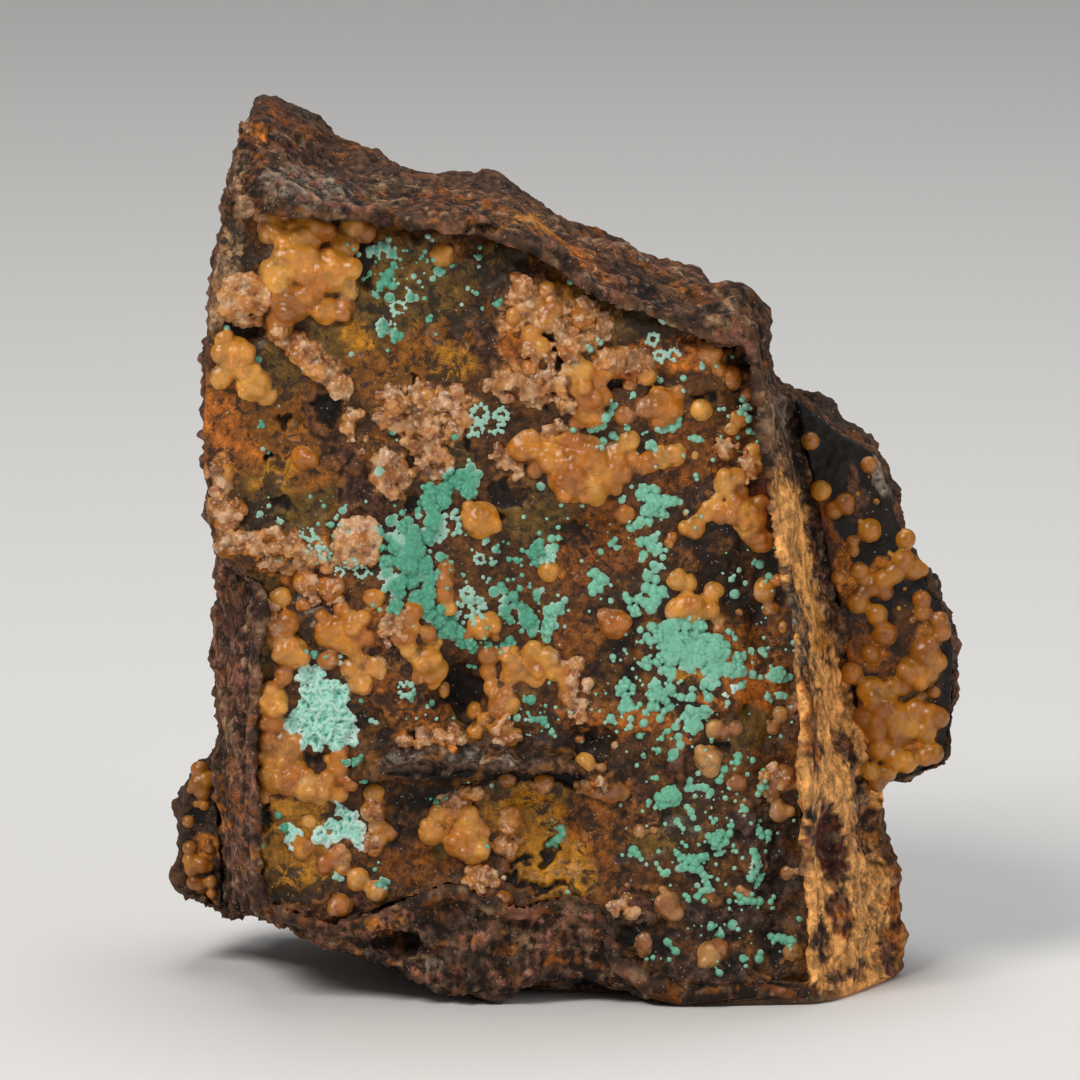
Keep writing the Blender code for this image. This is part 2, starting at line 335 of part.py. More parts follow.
def vein_depth(x, z):
    """Depth (y) of the main crust's ground surface, without its lumps."""
    depth = -14.0
    depth -= 1.6 * bell(max(0.0, x + 36.0) / 8.0)
    depth -= 1.2 * bell(max(0.0, z - 8.0) / 8.0)
    rim = z - (80.5 - 0.30 * max(0.0, x + 12.0))
    depth += 1.6 * bell(min(0.0, rim) / 5.0)
    depth += 1.4 * bell(min(0.0, x - 20.0 - 0.05 * (49.0 - z)) / 3.0)
    for x0, z0, half_x, half_z, rise in SWELLS:
        depth -= rise * bell(math.hypot((x - x0) / half_x, (z - z0) / half_z))
    ends = max(LEDGE[0][0] - x, x - LEDGE[-1][0], 0.0)
    wander = noise.noise(Vector((x * 0.25, 2.0, 0.0)))
    above = z - ledge_height(x) - 1.2 * wander
    half = LEDGE_HALF * (1.5 if above > 0 else 0.8)
    depth -= LEDGE_RISE * (0.9 + 0.9 * wander) * bell(above / half) * bell(ends / 2.0)
    depth -= 0.9 * noise.noise(Vector((x, 11.0, z)) * 0.16)
    depth -= 0.5 * noise.noise(Vector((x, 7.0, z)) * 0.4)
    return depth


def show_only_in_tools(obj):
    """Marks a cutter."""
    obj.hide_render = True
    obj.display_type = "WIRE"


def add_object(name, mesh, collection):
    """Links a new object for a mesh."""
    obj = bpy.data.objects.new(name, mesh)
    collection.objects.link(obj)
    return obj


def mesh_from(bm, name):
    """Writes a bmesh to a new mesh, triangulated, with its faces out."""
    bmesh.ops.recalc_face_normals(bm, faces=bm.faces)
    if bm.calc_volume(signed=True) < 0:
        bmesh.ops.reverse_faces(bm, faces=bm.faces)
    bmesh.ops.triangulate(bm, faces=bm.faces)
    mesh = bpy.data.meshes.new(name)
    bm.to_mesh(mesh)
    bm.free()
    return mesh


def settle(obj):
    """Replaces an object's mesh by its evaluated one and clears its modifiers."""
    bpy.context.view_layer.update()
    graph = bpy.context.evaluated_depsgraph_get()
    mesh = bpy.data.meshes.new_from_object(obj.evaluated_get(graph))
    obj.modifiers.clear()
    obj.data = mesh


def remesh(obj, cell, smooth=0):
    """Fuses everything in an object's mesh to one skin with cells of that size in mm."""
    fuse = obj.modifiers.new("fuse", "REMESH")
    fuse.mode = "VOXEL"
    fuse.voxel_size = cell * MM
    if smooth:
        soften = obj.modifiers.new("soften", "SMOOTH")
        soften.iterations = smooth
        soften.factor = 0.5
    settle(obj)


def thin_out(obj, faces):
    """Reduces a mesh to about that many triangles."""
    triangles = sum(len(p.vertices) - 2 for p in obj.data.polygons)
    if triangles <= faces:
        return
    reduce = obj.modifiers.new("reduce", "DECIMATE")
    reduce.ratio = faces / triangles
    settle(obj)


def cut(obj, cutter, operation="DIFFERENCE"):
    """Boolean of an object with a cutter. Both are closed, and thinned skins may brush against themselves."""
    boolean = obj.modifiers.new("cut", "BOOLEAN")
    boolean.solver = "MANIFOLD"
    boolean.operation = operation
    boolean.object = cutter
    settle(obj)
    keep_largest_body(obj)


def keep_largest_body(obj):
    """Drops every loose body but the largest, and tidies needle faces."""
    bm = bmesh.new()
    bm.from_mesh(obj.data)
    bmesh.ops.remove_doubles(bm, verts=bm.verts, dist=1e-7)
    left = set(bm.verts)
    bodies = []
    while left:
        stack = [left.pop()]
        body = []
        while stack:
            vert = stack.pop()
            body.append(vert)
            for edge in vert.link_edges:
                other = edge.other_vert(vert)
                if other in left:
                    left.remove(other)
                    stack.append(other)
        bodies.append(body)
    bodies.sort(key=len)
    loose = [vert for body in bodies[:-1] for vert in body]
    bmesh.ops.delete(bm, geom=loose, context="VERTS")
    mesh = mesh_from(bm, obj.name)
    obj.data = mesh


def loft(bm, sections):
    """A closed body through outlines of equal point counts at several depths."""
    rings = []
    for depth, outline in sections:
        rings.append([bm.verts.new(Vector((x, depth, z)) * MM) for x, z in outline])
    for near, far in zip(rings, rings[1:]):
        for i in range(len(near)):
            j = (i + 1) % len(near)
            bm.faces.new((near[i], near[j], far[j], far[i]))
    bm.faces.new(rings[0])
    bm.faces.new(rings[-1])
    bmesh.ops.recalc_face_normals(bm, faces=bm.faces)


def prism(name, outline, front, back, collection):
    """A flat outline in X and Z, as thick as from front to back along Y."""
    curve = bpy.data.curves.new(name, "CURVE")
    curve.dimensions = "2D"
    curve.fill_mode = "BOTH"
    curve.extrude = (back - front) / 2 * MM
    spline = curve.splines.new("POLY")
    spline.points.add(len(outline) - 1)
    for point, (x, z) in zip(spline.points, outline):
        point.co = (x * MM, z * MM, 0, 1)
    spline.use_cyclic_u = True
    raw = bpy.data.objects.new(name + "_curve", curve)
    collection.objects.link(raw)
    bpy.context.view_layer.update()
    graph = bpy.context.evaluated_depsgraph_get()
    mesh = bpy.data.meshes.new_from_object(raw.evaluated_get(graph))
    bpy.data.objects.remove(raw)
    bm = bmesh.new()
    bm.from_mesh(mesh)
    bmesh.ops.remove_doubles(bm, verts=bm.verts, dist=1e-6)
    upright = Matrix.Translation((0, (front + back) / 2 * MM, 0)) @ Matrix.Rotation(math.pi / 2, 4, "X")
    bm.transform(upright)
    obj = add_object(name, mesh_from(bm, name), collection)
    show_only_in_tools(obj)
    return obj


def grown(outline, distance):
    """An outline moved outwards by a distance."""
    moved = []
    count = len(outline)
    turns = sum(a[0] * b[1] - b[0] * a[1] for a, b in zip(outline, outline[1:] + outline[:1]))
    if turns > 0:
        outline = outline[::-1]
    for i in range(count):
        before = Vector(outline[i - 1])
        here = Vector(outline[i])
        after = Vector(outline[(i + 1) % count])
        side_in = (here - before).normalized()
        side_out = (after - here).normalized()
        out = Vector((-side_in.y - side_out.y, side_in.x + side_out.x)).normalized()
        lean = max(0.5, out.dot(Vector((-side_in.y, side_in.x))))
        moved.append(tuple(here + out * distance / lean))
    return moved


def pit_cutter(name, centre, half, collection):
    """An ellipsoid that hollows a pit."""
    bm = bmesh.new()
    place = Matrix.Translation(Vector(centre) * MM) @ Matrix.Diagonal((*(h * MM for h in half), 1))
    bmesh.ops.create_icosphere(bm, subdivisions=2, radius=1, matrix=place)
    obj = add_object(name, mesh_from(bm, name), collection)
    show_only_in_tools(obj)
    return obj


def box_cutter(name, low, high, collection):
    """A box between two corners in mm."""
    bm = bmesh.new()
    size = Vector(high) - Vector(low)
    centre = (Vector(high) + Vector(low)) / 2
    place = Matrix.Translation(centre * MM) @ Matrix.Diagonal((*(size * MM), 1))
    bmesh.ops.create_cube(bm, size=1, matrix=place)
    obj = add_object(name, mesh_from(bm, name), collection)
    show_only_in_tools(obj)
    return obj


def roughen(obj, strengths):
    """Moves each point along its normal by layers of noise: rise in mm, waves per mm along x, y and z."""
    mesh = obj.data
    for vert in mesh.vertices:
        place = vert.co / MM
        rise = 0.0
        for amount, waves in strengths:
            rise += amount * noise.noise(Vector(place[i] * waves[i] for i in range(3)))
        vert.co += vert.normal * rise * MM


def make_host_rock(parts, tools):
    """The rock block with its shelf, knob, sunken faces, pits and flat base."""
    bm = bmesh.new()
    loft(bm, BLOCK)
    loft(bm, [(SHELF_FLOOR - 1.0, SHELF), (SHELF_BACK - 4.0, SHELF), (SHELF_BACK, grown(SHELF, -1.6))])
    loft(bm, [(KNOB_FLOOR - 1.0, KNOB), (KNOB_BACK - 3.0, KNOB), (KNOB_BACK, grown(KNOB, -1.2))])
    rock = add_object("host_rock", mesh_from(bm, "host_rock"), parts)
    remesh(rock, ROCK_CELL, smooth=2)
    roughen(rock, [(1.5, (0.09, 0.09, 0.07)), (0.8, (0.28, 0.28, 0.16)), (0.45, (0.7, 0.7, 0.3))])
    thin_out(rock, ROCK_FACES)
    vein_cut = grown(VEIN_EDGE, GAP) + VEIN_LEFT_OPEN
    cut(rock, prism("vein_cutter", vein_cut, FRONT, VEIN_FLOOR, tools))
    shelf_cut = grown(SHELF_EDGE, GAP)
    cut(rock, prism("shelf_cutter", shelf_cut, FRONT, SHELF_FLOOR, tools))
    knob_cut = grown(KNOB_EDGE, GAP)
    cut(rock, prism("knob_cutter", knob_cut, FRONT, KNOB_FLOOR, tools))
    for i, (centre, half) in enumerate(PITS):
        cut(rock, pit_cutter(f"pit_cutter_{i}", centre, half, tools))
    cut(rock, box_cutter("base_cutter", (-60.0, -60.0, -20.0), (60.0, 60.0, 0.0), tools))
    return rock


def add_ball(bm, x, depth, z, radius, detail=2):
    """Adds a ball to a bmesh."""
    place = Matrix.Translation(Vector((x, depth, z)) * MM)
    bmesh.ops.create_icosphere(bm, subdivisions=detail, radius=radius * MM, matrix=place)


def make_crust(name, edge, floor, surface, lumps, faces, parts, tools):
    """A crust on a sunken face: a plate whose front follows surface(x, z), fused with its lumps."""
    low_x = min(x for x, _ in edge) - 2.0
    high_x = max(x for x, _ in edge) + 2.0
    low_z = min(z for _, z in edge) - 2.0
    high_z = max(z for _, z in edge) + 2.0
    bm = bmesh.new()
    bmesh.ops.create_cube(bm, size=1)
    bmesh.ops.subdivide_edges(bm, edges=bm.edges, cuts=60, use_grid_fill=True)
    for vert in bm.verts:
        x = low_x + (vert.co.x + 0.5) * (high_x - low_x)
        z = low_z + (vert.co.z + 0.5) * (high_z - low_z)
        back = floor + 3.0
        share = 0.5 - vert.co.y
        depth = back + (surface(x, z) - back) * share
        vert.co = Vector((x, depth, z)) * MM
    for x, seen, radius in lumps:
        depth = surface(x, true_height(seen, floor - 4.0))
        add_ball(bm, x, depth, true_height(seen, depth - radius), radius)
    crust = add_object(name, mesh_from(bm, name), parts)
    remesh(crust, CRUST_CELL, smooth=1)
    thin_out(crust, faces)
    cut(crust, prism(name + "_edge", edge, FRONT, floor - GAP, tools), "INTERSECT")
    return crust


def shelf_surface(x, z):
    """Depth of the shelf's skin."""
    return SHELF_FLOOR - 1.3 - 0.5 * noise.noise(Vector((x, 3.0, z)) * 0.25)


def knob_surface(x, z):
    """Depth of the knob's skin."""
    return KNOB_FLOOR - 1.2 - 0.4 * noise.noise(Vector((x, 5.0, z)) * 0.3)


def make_clearance(crust, tools):
    """The main crust's skin moved out by the gap, which the malachite growths are cut back to."""
    clearance = add_object("crust_clearance", crust.data.copy(), tools)
    show_only_in_tools(clearance)
    remesh(clearance, CRUST_CELL)
    swell = clearance.modifiers.new("swell", "DISPLACE")
    swell.mid_level = 0
    swell.strength = (GAP + SPARE) * MM
    remesh(clearance, CRUST_CELL)
    thin_out(clearance, CLEARANCE_FACES)
    return clearance


def make_growth(name, balls, tree, clearance, parts):
    """One malachite growth, seated on the crust."""
    bm = bmesh.new()
    area = 0.0
    for x, seen, radius in balls:
        depth = VEIN_FLOOR - 4.0
        for _ in range(3):
            z = true_height(seen, depth)
            hit = tree.ray_cast(Vector((x, FRONT, z)) * MM, Vector((0, 1, 0)))[0]
            depth = hit.y / MM if hit else depth
        add_ball(bm, x, depth - BALL_STAND, z, radius)
        area += radius * radius
    growth = add_object(name, mesh_from(bm, name), parts)
    remesh(growth, BALL_CELL, smooth=1)
    thin_out(growth, max(BALL_FACES_LEAST, int(area * BALL_FACES_PER_AREA)))
    cut(growth, clearance)
    return growth


def finish_piece(obj, stone):
    """Gives a piece its stone and moves it so that the base's centre is the origin."""
    colour, roughness = STONE_LOOKS[stone]
    material = bpy.data.materials.get(stone) or bpy.data.materials.new(stone)
    material.use_nodes = True
    shader = material.node_tree.nodes["Principled BSDF"]
    shader.inputs["Base Color"].default_value = (*colour, 1)
    shader.inputs["Roughness"].default_value = roughness
    shader.inputs["Metallic"].default_value = 0.0
    obj.data.materials.clear()
    obj.data.materials.append(material)
    obj.data.transform(Matrix.Translation(SHIFT * MM))
    obj.data.shade_smooth()
    obj.data.set_sharp_from_angle(angle=math.radians(50))


def main():
    for obj in list(bpy.data.objects):
        bpy.data.objects.remove(obj)
    parts = bpy.data.collections.new("malachite_on_smithsonite")
    tools = bpy.data.collections.new("cutters")
    bpy.context.scene.collection.children.link(parts)
    bpy.context.scene.collection.children.link(tools)

    finish_piece(make_host_rock(parts, tools), "gossan")

    vein_edge = VEIN_EDGE + VEIN_LEFT
    crust = make_crust("smithsonite_crust", vein_edge, VEIN_FLOOR, vein_depth, LUMPS, CRUST_FACES,
                       parts, tools)
    graph = bpy.context.evaluated_depsgraph_get()
    tree = BVHTree.FromObject(crust, graph)
    clearance = make_clearance(crust, tools)
    for name, balls in MALACHITE.items():
        stone = "pale_malachite" if "mint" in name else "malachite"
        finish_piece(make_growth(name, balls, tree, clearance, parts), stone)
    finish_piece(crust, "smithsonite")

    shelf = make_crust("shelf_smithsonite", SHELF_EDGE, SHELF_FLOOR, shelf_surface, SHELF_LUMPS, SHELF_FACES,
                       parts, tools)
    finish_piece(shelf, "smithsonite")
    knob = make_crust("knob_smithsonite", KNOB_EDGE, KNOB_FLOOR, knob_surface, KNOB_LUMPS, KNOB_FACES,
                      parts, tools)
    finish_piece(knob, "smithsonite")


main()
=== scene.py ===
import math
import random

import bmesh
import bpy
import numpy as np
from mathutils import Matrix, Vector, noise
from mathutils.bvhtree import BVHTree
from mathutils.kdtree import KDTree


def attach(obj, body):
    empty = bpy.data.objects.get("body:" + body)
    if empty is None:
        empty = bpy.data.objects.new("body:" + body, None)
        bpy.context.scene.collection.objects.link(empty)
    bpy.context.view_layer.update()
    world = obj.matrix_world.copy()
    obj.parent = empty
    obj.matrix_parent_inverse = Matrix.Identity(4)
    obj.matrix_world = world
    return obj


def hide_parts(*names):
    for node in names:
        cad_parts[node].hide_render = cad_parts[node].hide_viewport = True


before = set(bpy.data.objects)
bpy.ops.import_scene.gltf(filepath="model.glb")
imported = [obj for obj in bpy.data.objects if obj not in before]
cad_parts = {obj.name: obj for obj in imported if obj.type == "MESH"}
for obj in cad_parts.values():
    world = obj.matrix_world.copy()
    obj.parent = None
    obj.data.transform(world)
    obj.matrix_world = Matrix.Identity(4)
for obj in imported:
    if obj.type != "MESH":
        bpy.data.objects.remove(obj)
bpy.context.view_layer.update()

# All lengths below are millimetres in the block's own frame; finishPiece turns them into the model's metres.
mm = 0.001
shift = np.array((0.0, -2.5, 0.0))
tilt = math.radians(10)
sightDir = Vector((0.0, math.cos(tilt), -math.sin(tilt)))


def hexColour(code):
    # "9a6a1e" as a linear colour
    parts = [int(code[i:i + 2], 16) / 255 for i in (0, 2, 4)]
    return np.array([p / 12.92 if p <= 0.04045 else ((p + 0.055) / 1.055) ** 2.4 for p in parts])


# ---- stone tints: colour, roughness (0 smooth to 1 druse), dark branching marks, glitter, lift in mm
stoneTints = {
    "ochre": ("86500e", 0.14, 0.85, 0.05, 0.0),
    "olive": ("694b18", 0.10, 0.70, 0.05, -0.1),
    "mustard": ("ac7216", 0.06, 0.75, 0.03, 0.0),
    "orange": ("a85e1a", 0.22, 0.55, 0.05, 0.1),
    "amber": ("bd7a2e", 0.05, 0.15, 0.05, 0.2),
    "rust": ("7a4310", 0.38, 0.60, 0.10, 0.0),
    "brown": ("553211", 0.34, 0.60, 0.12, -0.1),
    "darkBrown": ("221206", 0.40, 0.35, 0.25, -0.5),
    "black": ("110c08", 0.50, 0.00, 0.20, -0.7),
    "chocolate": ("0e0703", 0.05, 0.00, 0.02, 0.0),
    "purple": ("4a2e22", 0.75, 0.30, 0.20, 0.3),
    "darkRock": ("412f25", 0.80, 0.20, 0.20, 0.2),
    "grey": ("786a5c", 0.75, 0.45, 0.15, 0.1),
    "pinkDruse": ("b9824f", 0.60, 0.20, 0.40, 0.2),
    "orangeDruse": ("a9641f", 0.60, 0.20, 0.30, 0.2),
    "salmon": ("a85c2a", 0.60, 0.10, 0.20, 0.2),
    "tan": ("e2a058", 0.12, 0.12, 0.02, 0.0),
    "beige": ("8a6c4e", 0.40, 0.35, 0.06, 0.0),
    "rimBrown": ("583c29", 0.60, 0.40, 0.15, 0.0),
    "pinkRock": ("7c503e", 0.65, 0.35, 0.15, 0.0),
    "redPit": ("5c2209", 0.12, 0.00, 0.20, 0.0),
    "bark": ("704c3b", 0.65, 0.35, 0.15, 0.0),
    "backRock": ("4f3628", 0.65, 0.35, 0.08, 0.0),
}
tintOf = {stone: np.array([*hexColour(code), *rest]) for stone, (code, *rest) in stoneTints.items()}


def rowsOf(width, numbers):
    # a flat list of numbers as rows
    return [tuple(numbers[i:i + width]) for i in range(0, len(numbers), width)]


# ---- arrays and noise

def noiseAt(points, scale, seed=0.0):
    scale = np.broadcast_to(np.asarray(scale, float), (3,))
    p = points * scale + seed
    return np.array([noise.noise(Vector(q)) for q in p.tolist()])


def ridgesAt(points, scale, seed=0.0):
    # sharp ridges between round hollows, 0 to 1
    return 1.0 - np.abs(noiseAt(points, scale, seed)) * 2.0


def facetsAt(points, scale, seed=0.0):
    # broken stone: flat faces that meet in sharp edges, 0 at the middle of a chip
    turn = Matrix.Rotation(0.6 + seed, 3, "X") @ Matrix.Rotation(1.1 * seed + 0.3, 3, "Z")
    p = (points * scale) @ np.array(turn) + seed
    return np.array([noise.voronoi(Vector(q), distance_metric="CHEBYCHEV")[0][0] for q in p.tolist()]) - 0.33


def domesAt(points, scale, seed=0.0):
    # packed round bumps that meet in creases, 1 at their tops
    p = points * scale + seed
    return 1.0 - np.array([noise.voronoi(Vector(q))[0][0] for q in p.tolist()])


def smooth(low, high, value):
    t = np.clip((value - low) / (high - low), 0, 1)
    return t * t * (3 - 2 * t)


def bell(distance):
    return np.exp(-1.2 * distance * distance)


def seenHeight(points):
    return points[:, 2] * math.cos(tilt) + (points[:, 1] + 15.0) * math.sin(tilt)


def paintPatches(x, v, points, patches, base, warp):
    # blends the tints of listed patches; returns colour, roughness, marks, glitter, lift
    x = x + warp * noiseAt(points, 0.55, 3.1) + warp * 0.6 * noiseAt(points, 1.5, 9.4)
    v = v + warp * noiseAt(points, 0.55, 17.7) + warp * 0.6 * noiseAt(points, 1.5, 23.9)
    out = np.tile(tintOf[base], (len(x), 1))
    for stone, px, pv, halfX, halfZ, *turn in patches:
        a = math.radians(turn[0] if turn else 0)
        dx, dz = x - px, v - pv
        u = dx * math.cos(a) + dz * math.sin(a)
        w = dz * math.cos(a) - dx * math.sin(a)
        share = 1 - smooth(0.75, 1.2, np.hypot(u / halfX, w / halfZ))
        out += (tintOf[stone] - out) * share[:, None]
    return out


# ---- mesh helpers

def vectorsOf(items, kind):
    flat = np.empty(len(items) * 3)
    items.foreach_get(kind, flat)
    return flat.reshape(-1, 3)


def pointsOf(mesh):
    return vectorsOf(mesh.vertices, "co")


def normalsOf(mesh):
    return vectorsOf(mesh.vertex_normals, "vector")


def setPoints(mesh, points):
    mesh.vertices.foreach_set("co", points.ravel())
    mesh.update()


def neighbourMean(mesh, values, rounds):
    # repeated mean over the edges, for hollows and for softening
    ends = np.empty(len(mesh.edges) * 2, int)
    mesh.edges.foreach_get("vertices", ends)
    a, b = ends[0::2], ends[1::2]
    count = np.bincount(a, minlength=len(values)) + np.bincount(b, minlength=len(values))
    values = values.copy()
    for _ in range(rounds):
        for k in range(values.shape[1]):
            total = np.bincount(a, values[b, k], len(values)) + np.bincount(b, values[a, k], len(values))
            values[:, k] = 0.5 * values[:, k] + 0.5 * total / np.maximum(count, 1)
    return values


def hollowsOf(mesh, rounds):
    # over 0 in creases, under 0 on edges and bumps, in mm
    points = pointsOf(mesh)
    away = neighbourMean(mesh, points, rounds) - points
    return np.einsum("ij,ij->i", away, normalsOf(mesh))


def addAttribute(mesh, name, values):
    kind = "FLOAT_COLOR" if values.ndim == 2 else "FLOAT"
    layer = mesh.attributes.new(name, kind, "POINT")
    if values.ndim == 2:
        full = np.ones((len(values), 4))
        full[:, :3] = values[:, :3]
        layer.data.foreach_set("color", full.ravel())
    else:
        layer.data.foreach_set("value", values.astype(float))


def meshFrom(name, points, faces):
    mesh = bpy.data.meshes.new(name)
    mesh.from_pydata([tuple(p) for p in points], [], faces)
    mesh.update()
    return mesh


def newObject(name, mesh):
    obj = bpy.data.objects.new(name, mesh)
    bpy.context.scene.collection.objects.link(obj)
    return obj


def settle(obj):
    # bakes the modifiers into the mesh
    bpy.context.view_layer.update()
    graph = bpy.context.evaluated_depsgraph_get()
    mesh = bpy.data.meshes.new_from_object(obj.evaluated_get(graph))
    obj.modifiers.clear()
    obj.data = mesh


def fuse(obj, cell, soften=0):
    remesh = obj.modifiers.new("fuse", "REMESH")
    remesh.mode = "VOXEL"
    remesh.voxel_size = cell * 1.0
    if soften:
        smoothing = obj.modifiers.new("soften", "SMOOTH")
        smoothing.iterations = soften
        smoothing.factor = 0.5
    settle(obj)


def faceTree(mesh):
    return BVHTree.FromPolygons([v.co for v in mesh.vertices], [p.vertices for p in mesh.polygons])


def seatOn(tree, x, v):
    # where a line of sight at x and height v meets a surface
    start = Vector((x, -60.0, (v + 45.0 * math.sin(tilt)) / math.cos(tilt)))
    return tree.ray_cast(start, sightDir)


def heightOver(tree, points):
    # how far in front of a surface each point lies, along the line of sight
    out = np.zeros(len(points))
    for i, (x, v, y) in enumerate(zip(points[:, 0].tolist(), seenHeight(points).tolist(), points[:, 1].tolist())):
        hit = seatOn(tree, x, v)[0]
        out[i] = 1.0 if hit is None else hit.y - y
    return out


def meanDepth(tree, reach):
    # a function giving how deep the seen surface lies on average round a point
    step, lowX, lowV = 0.5, -44.0, -4.0
    xs, vs = np.arange(lowX, 44, step), np.arange(lowV, 96, step)
    hits = [seatOn(tree, x, v)[0] for v in vs.tolist() for x in xs.tolist()]
    known = np.array([hit is not None for hit in hits], float).reshape(len(vs), len(xs))
    depth = np.array([0.0 if hit is None else hit.y for hit in hits]).reshape(len(vs), len(xs))
    span = int(3 * reach / step)
    kernel = np.exp(-0.5 * (np.arange(-span, span + 1) * step / reach) ** 2)
    for axis in (0, 1):
        known = np.apply_along_axis(np.convolve, axis, known, kernel, "same")
        depth = np.apply_along_axis(np.convolve, axis, depth, kernel, "same")
    mean = depth / np.maximum(known, 1e-6)

    def sample(points):
        row = np.clip((seenHeight(points) - lowV) / step, 0, len(vs) - 1.001)
        column = np.clip((points[:, 0] - lowX) / step, 0, len(xs) - 1.001)
        r, c = row.astype(int), column.astype(int)
        fr, fc = row - r, column - c
        upper = mean[r, c] * (1 - fc) + mean[r, c + 1] * fc
        lower = mean[r + 1, c] * (1 - fc) + mean[r + 1, c + 1] * fc
        return upper * (1 - fr) + lower * fr
    return sample


def budsOn(seated, rng, least, share, size, lift):
    # smaller lumps growing from the seen side of the larger ones
    buds = []
    up = Vector((0.0, math.sin(tilt), math.cos(tilt)))
    for centre, radius, stretch in seated:
        count = int(share * (radius / least) ** 2) if radius >= least else 0
        start = rng.uniform(0, 2 * math.pi)
        for k in range(count):
            a = start + 2.4 * k
            reach = radius * math.sqrt((k + 0.5) / count) * rng.uniform(0.7, 0.9)
            out = math.sqrt(radius * radius - reach * reach) * lift * stretch[1]
            side = Vector((math.cos(a), 0, 0)) * reach + up * (reach * math.sin(a))
            buds.append((centre + side - sightDir * out, rng.uniform(*size) * math.sqrt(radius), stretch))
    return buds


def nearestBall(points, seated):
    # the number of the ball nearest to each point, and how far outside its skin the point lies
    tree = KDTree(len(seated))
    for i, ball in enumerate(seated):
        tree.insert(ball[0], i)
    tree.balance()
    found = [tree.find(p)[1:] for p in points.tolist()]
    which = np.array([f[0] for f in found])
    return which, np.array([f[1] for f in found]) - np.array([ball[1] for ball in seated])[which]


def trianglesIn(mesh):
    return sum(len(p.vertices) - 2 for p in mesh.polygons)


def thinHidden(obj, hidden, most):
    # thins a mesh to a number of triangles, and spends what nobody sees first
    group = obj.vertex_groups.new(name="hidden")
    group.add(np.flatnonzero(hidden).tolist(), 1.0, "REPLACE")
    triangles = trianglesIn(obj.data)
    if triangles > most:
        reduce = obj.modifiers.new("reduce", "DECIMATE")
        reduce.ratio = most / triangles
        reduce.vertex_group = group.name
        reduce.vertex_group_factor = 1.0
        settle(obj)
    obj.vertex_groups.clear()


def finishPiece(obj, material, nodes=()):
    mesh = obj.data
    setPoints(mesh, (pointsOf(mesh) + shift) * mm)
    mesh.materials.clear()
    mesh.materials.append(material)
    mesh.shade_smooth()
    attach(obj, "root")
    if nodes:
        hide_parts(*nodes)
    print(obj.name, trianglesIn(mesh), "triangles")


# ---- node trees; the geometry one puts balls on points

def newTree(name, kind, inputs, outputs):
    tree = bpy.data.node_groups.new(name, kind)
    for label, socketKind, value in inputs:
        socket = tree.interface.new_socket(label, in_out="INPUT", socket_type="NodeSocket" + socketKind)
        if value is not None:
            socket.default_value = value
    for label, socketKind in outputs:
        tree.interface.new_socket(label, in_out="OUTPUT", socket_type="NodeSocket" + socketKind)
    return tree, tree.nodes.new("NodeGroupInput").outputs, tree.nodes.new("NodeGroupOutput")


def feed(tree, node, inputs):
    # links or sets a node's inputs, by name or number
    for key, value in inputs.items():
        if isinstance(value, bpy.types.NodeSocket):
            tree.links.new(value, node.inputs[key])
        elif value is not None:
            node.inputs[key].default_value = value


def addNode(tree, kind, inputs=None, **settings):
    node = tree.nodes.new(kind)
    for key, value in settings.items():
        setattr(node, key, value)
    feed(tree, node, inputs or {})
    return node


def ballTree():
    # a ball on every point, sized by the point's radius and stretch, with a wobbling skin
    tree, given, out = newTree("ballsOnPoints", "GeometryNodeTree", [
        ("Geometry", "Geometry", None), ("Detail", "Int", 3), ("Wobble", "Float", 0.08),
        ("Wobble Scale", "Float", 0.8), ("Material", "Material", None)], [("Geometry", "Geometry")])
    ball = addNode(tree, "GeometryNodeMeshIcoSphere", {"Subdivisions": given["Detail"]})
    radius = addNode(tree, "GeometryNodeInputNamedAttribute", {"Name": "radius"})
    stretch = addNode(tree, "GeometryNodeInputNamedAttribute", {"Name": "stretch"}, data_type="FLOAT_VECTOR")
    size = scaled(tree, stretch.outputs["Attribute"], radius.outputs["Attribute"])
    put = addNode(tree, "GeometryNodeInstanceOnPoints",
                  {"Points": given["Geometry"], "Instance": ball.outputs["Mesh"], "Scale": size})
    real = addNode(tree, "GeometryNodeRealizeInstances", {"Geometry": put.outputs["Instances"]})
    ripple = addNode(tree, "ShaderNodeTexNoise", {"Scale": given["Wobble Scale"]})
    centred = addNode(tree, "ShaderNodeVectorMath", {0: ripple.outputs["Color"], 1: (0.5, 0.5, 0.5)},
                      operation="SUBTRACT")
    wobble = scaled(tree, centred.outputs["Vector"], given["Wobble"])
    move = addNode(tree, "GeometryNodeSetPosition", {"Geometry": real.outputs["Geometry"], "Offset": wobble})
    paint = addNode(tree, "GeometryNodeSetMaterial",
                    {"Geometry": move.outputs["Geometry"], "Material": given["Material"]})
    feed(tree, out, {"Geometry": paint.outputs["Geometry"]})
    return tree


def scaled(tree, vector, amount):
    node = addNode(tree, "ShaderNodeVectorMath", {0: vector, "Scale": amount}, operation="SCALE")
    return node.outputs["Vector"]


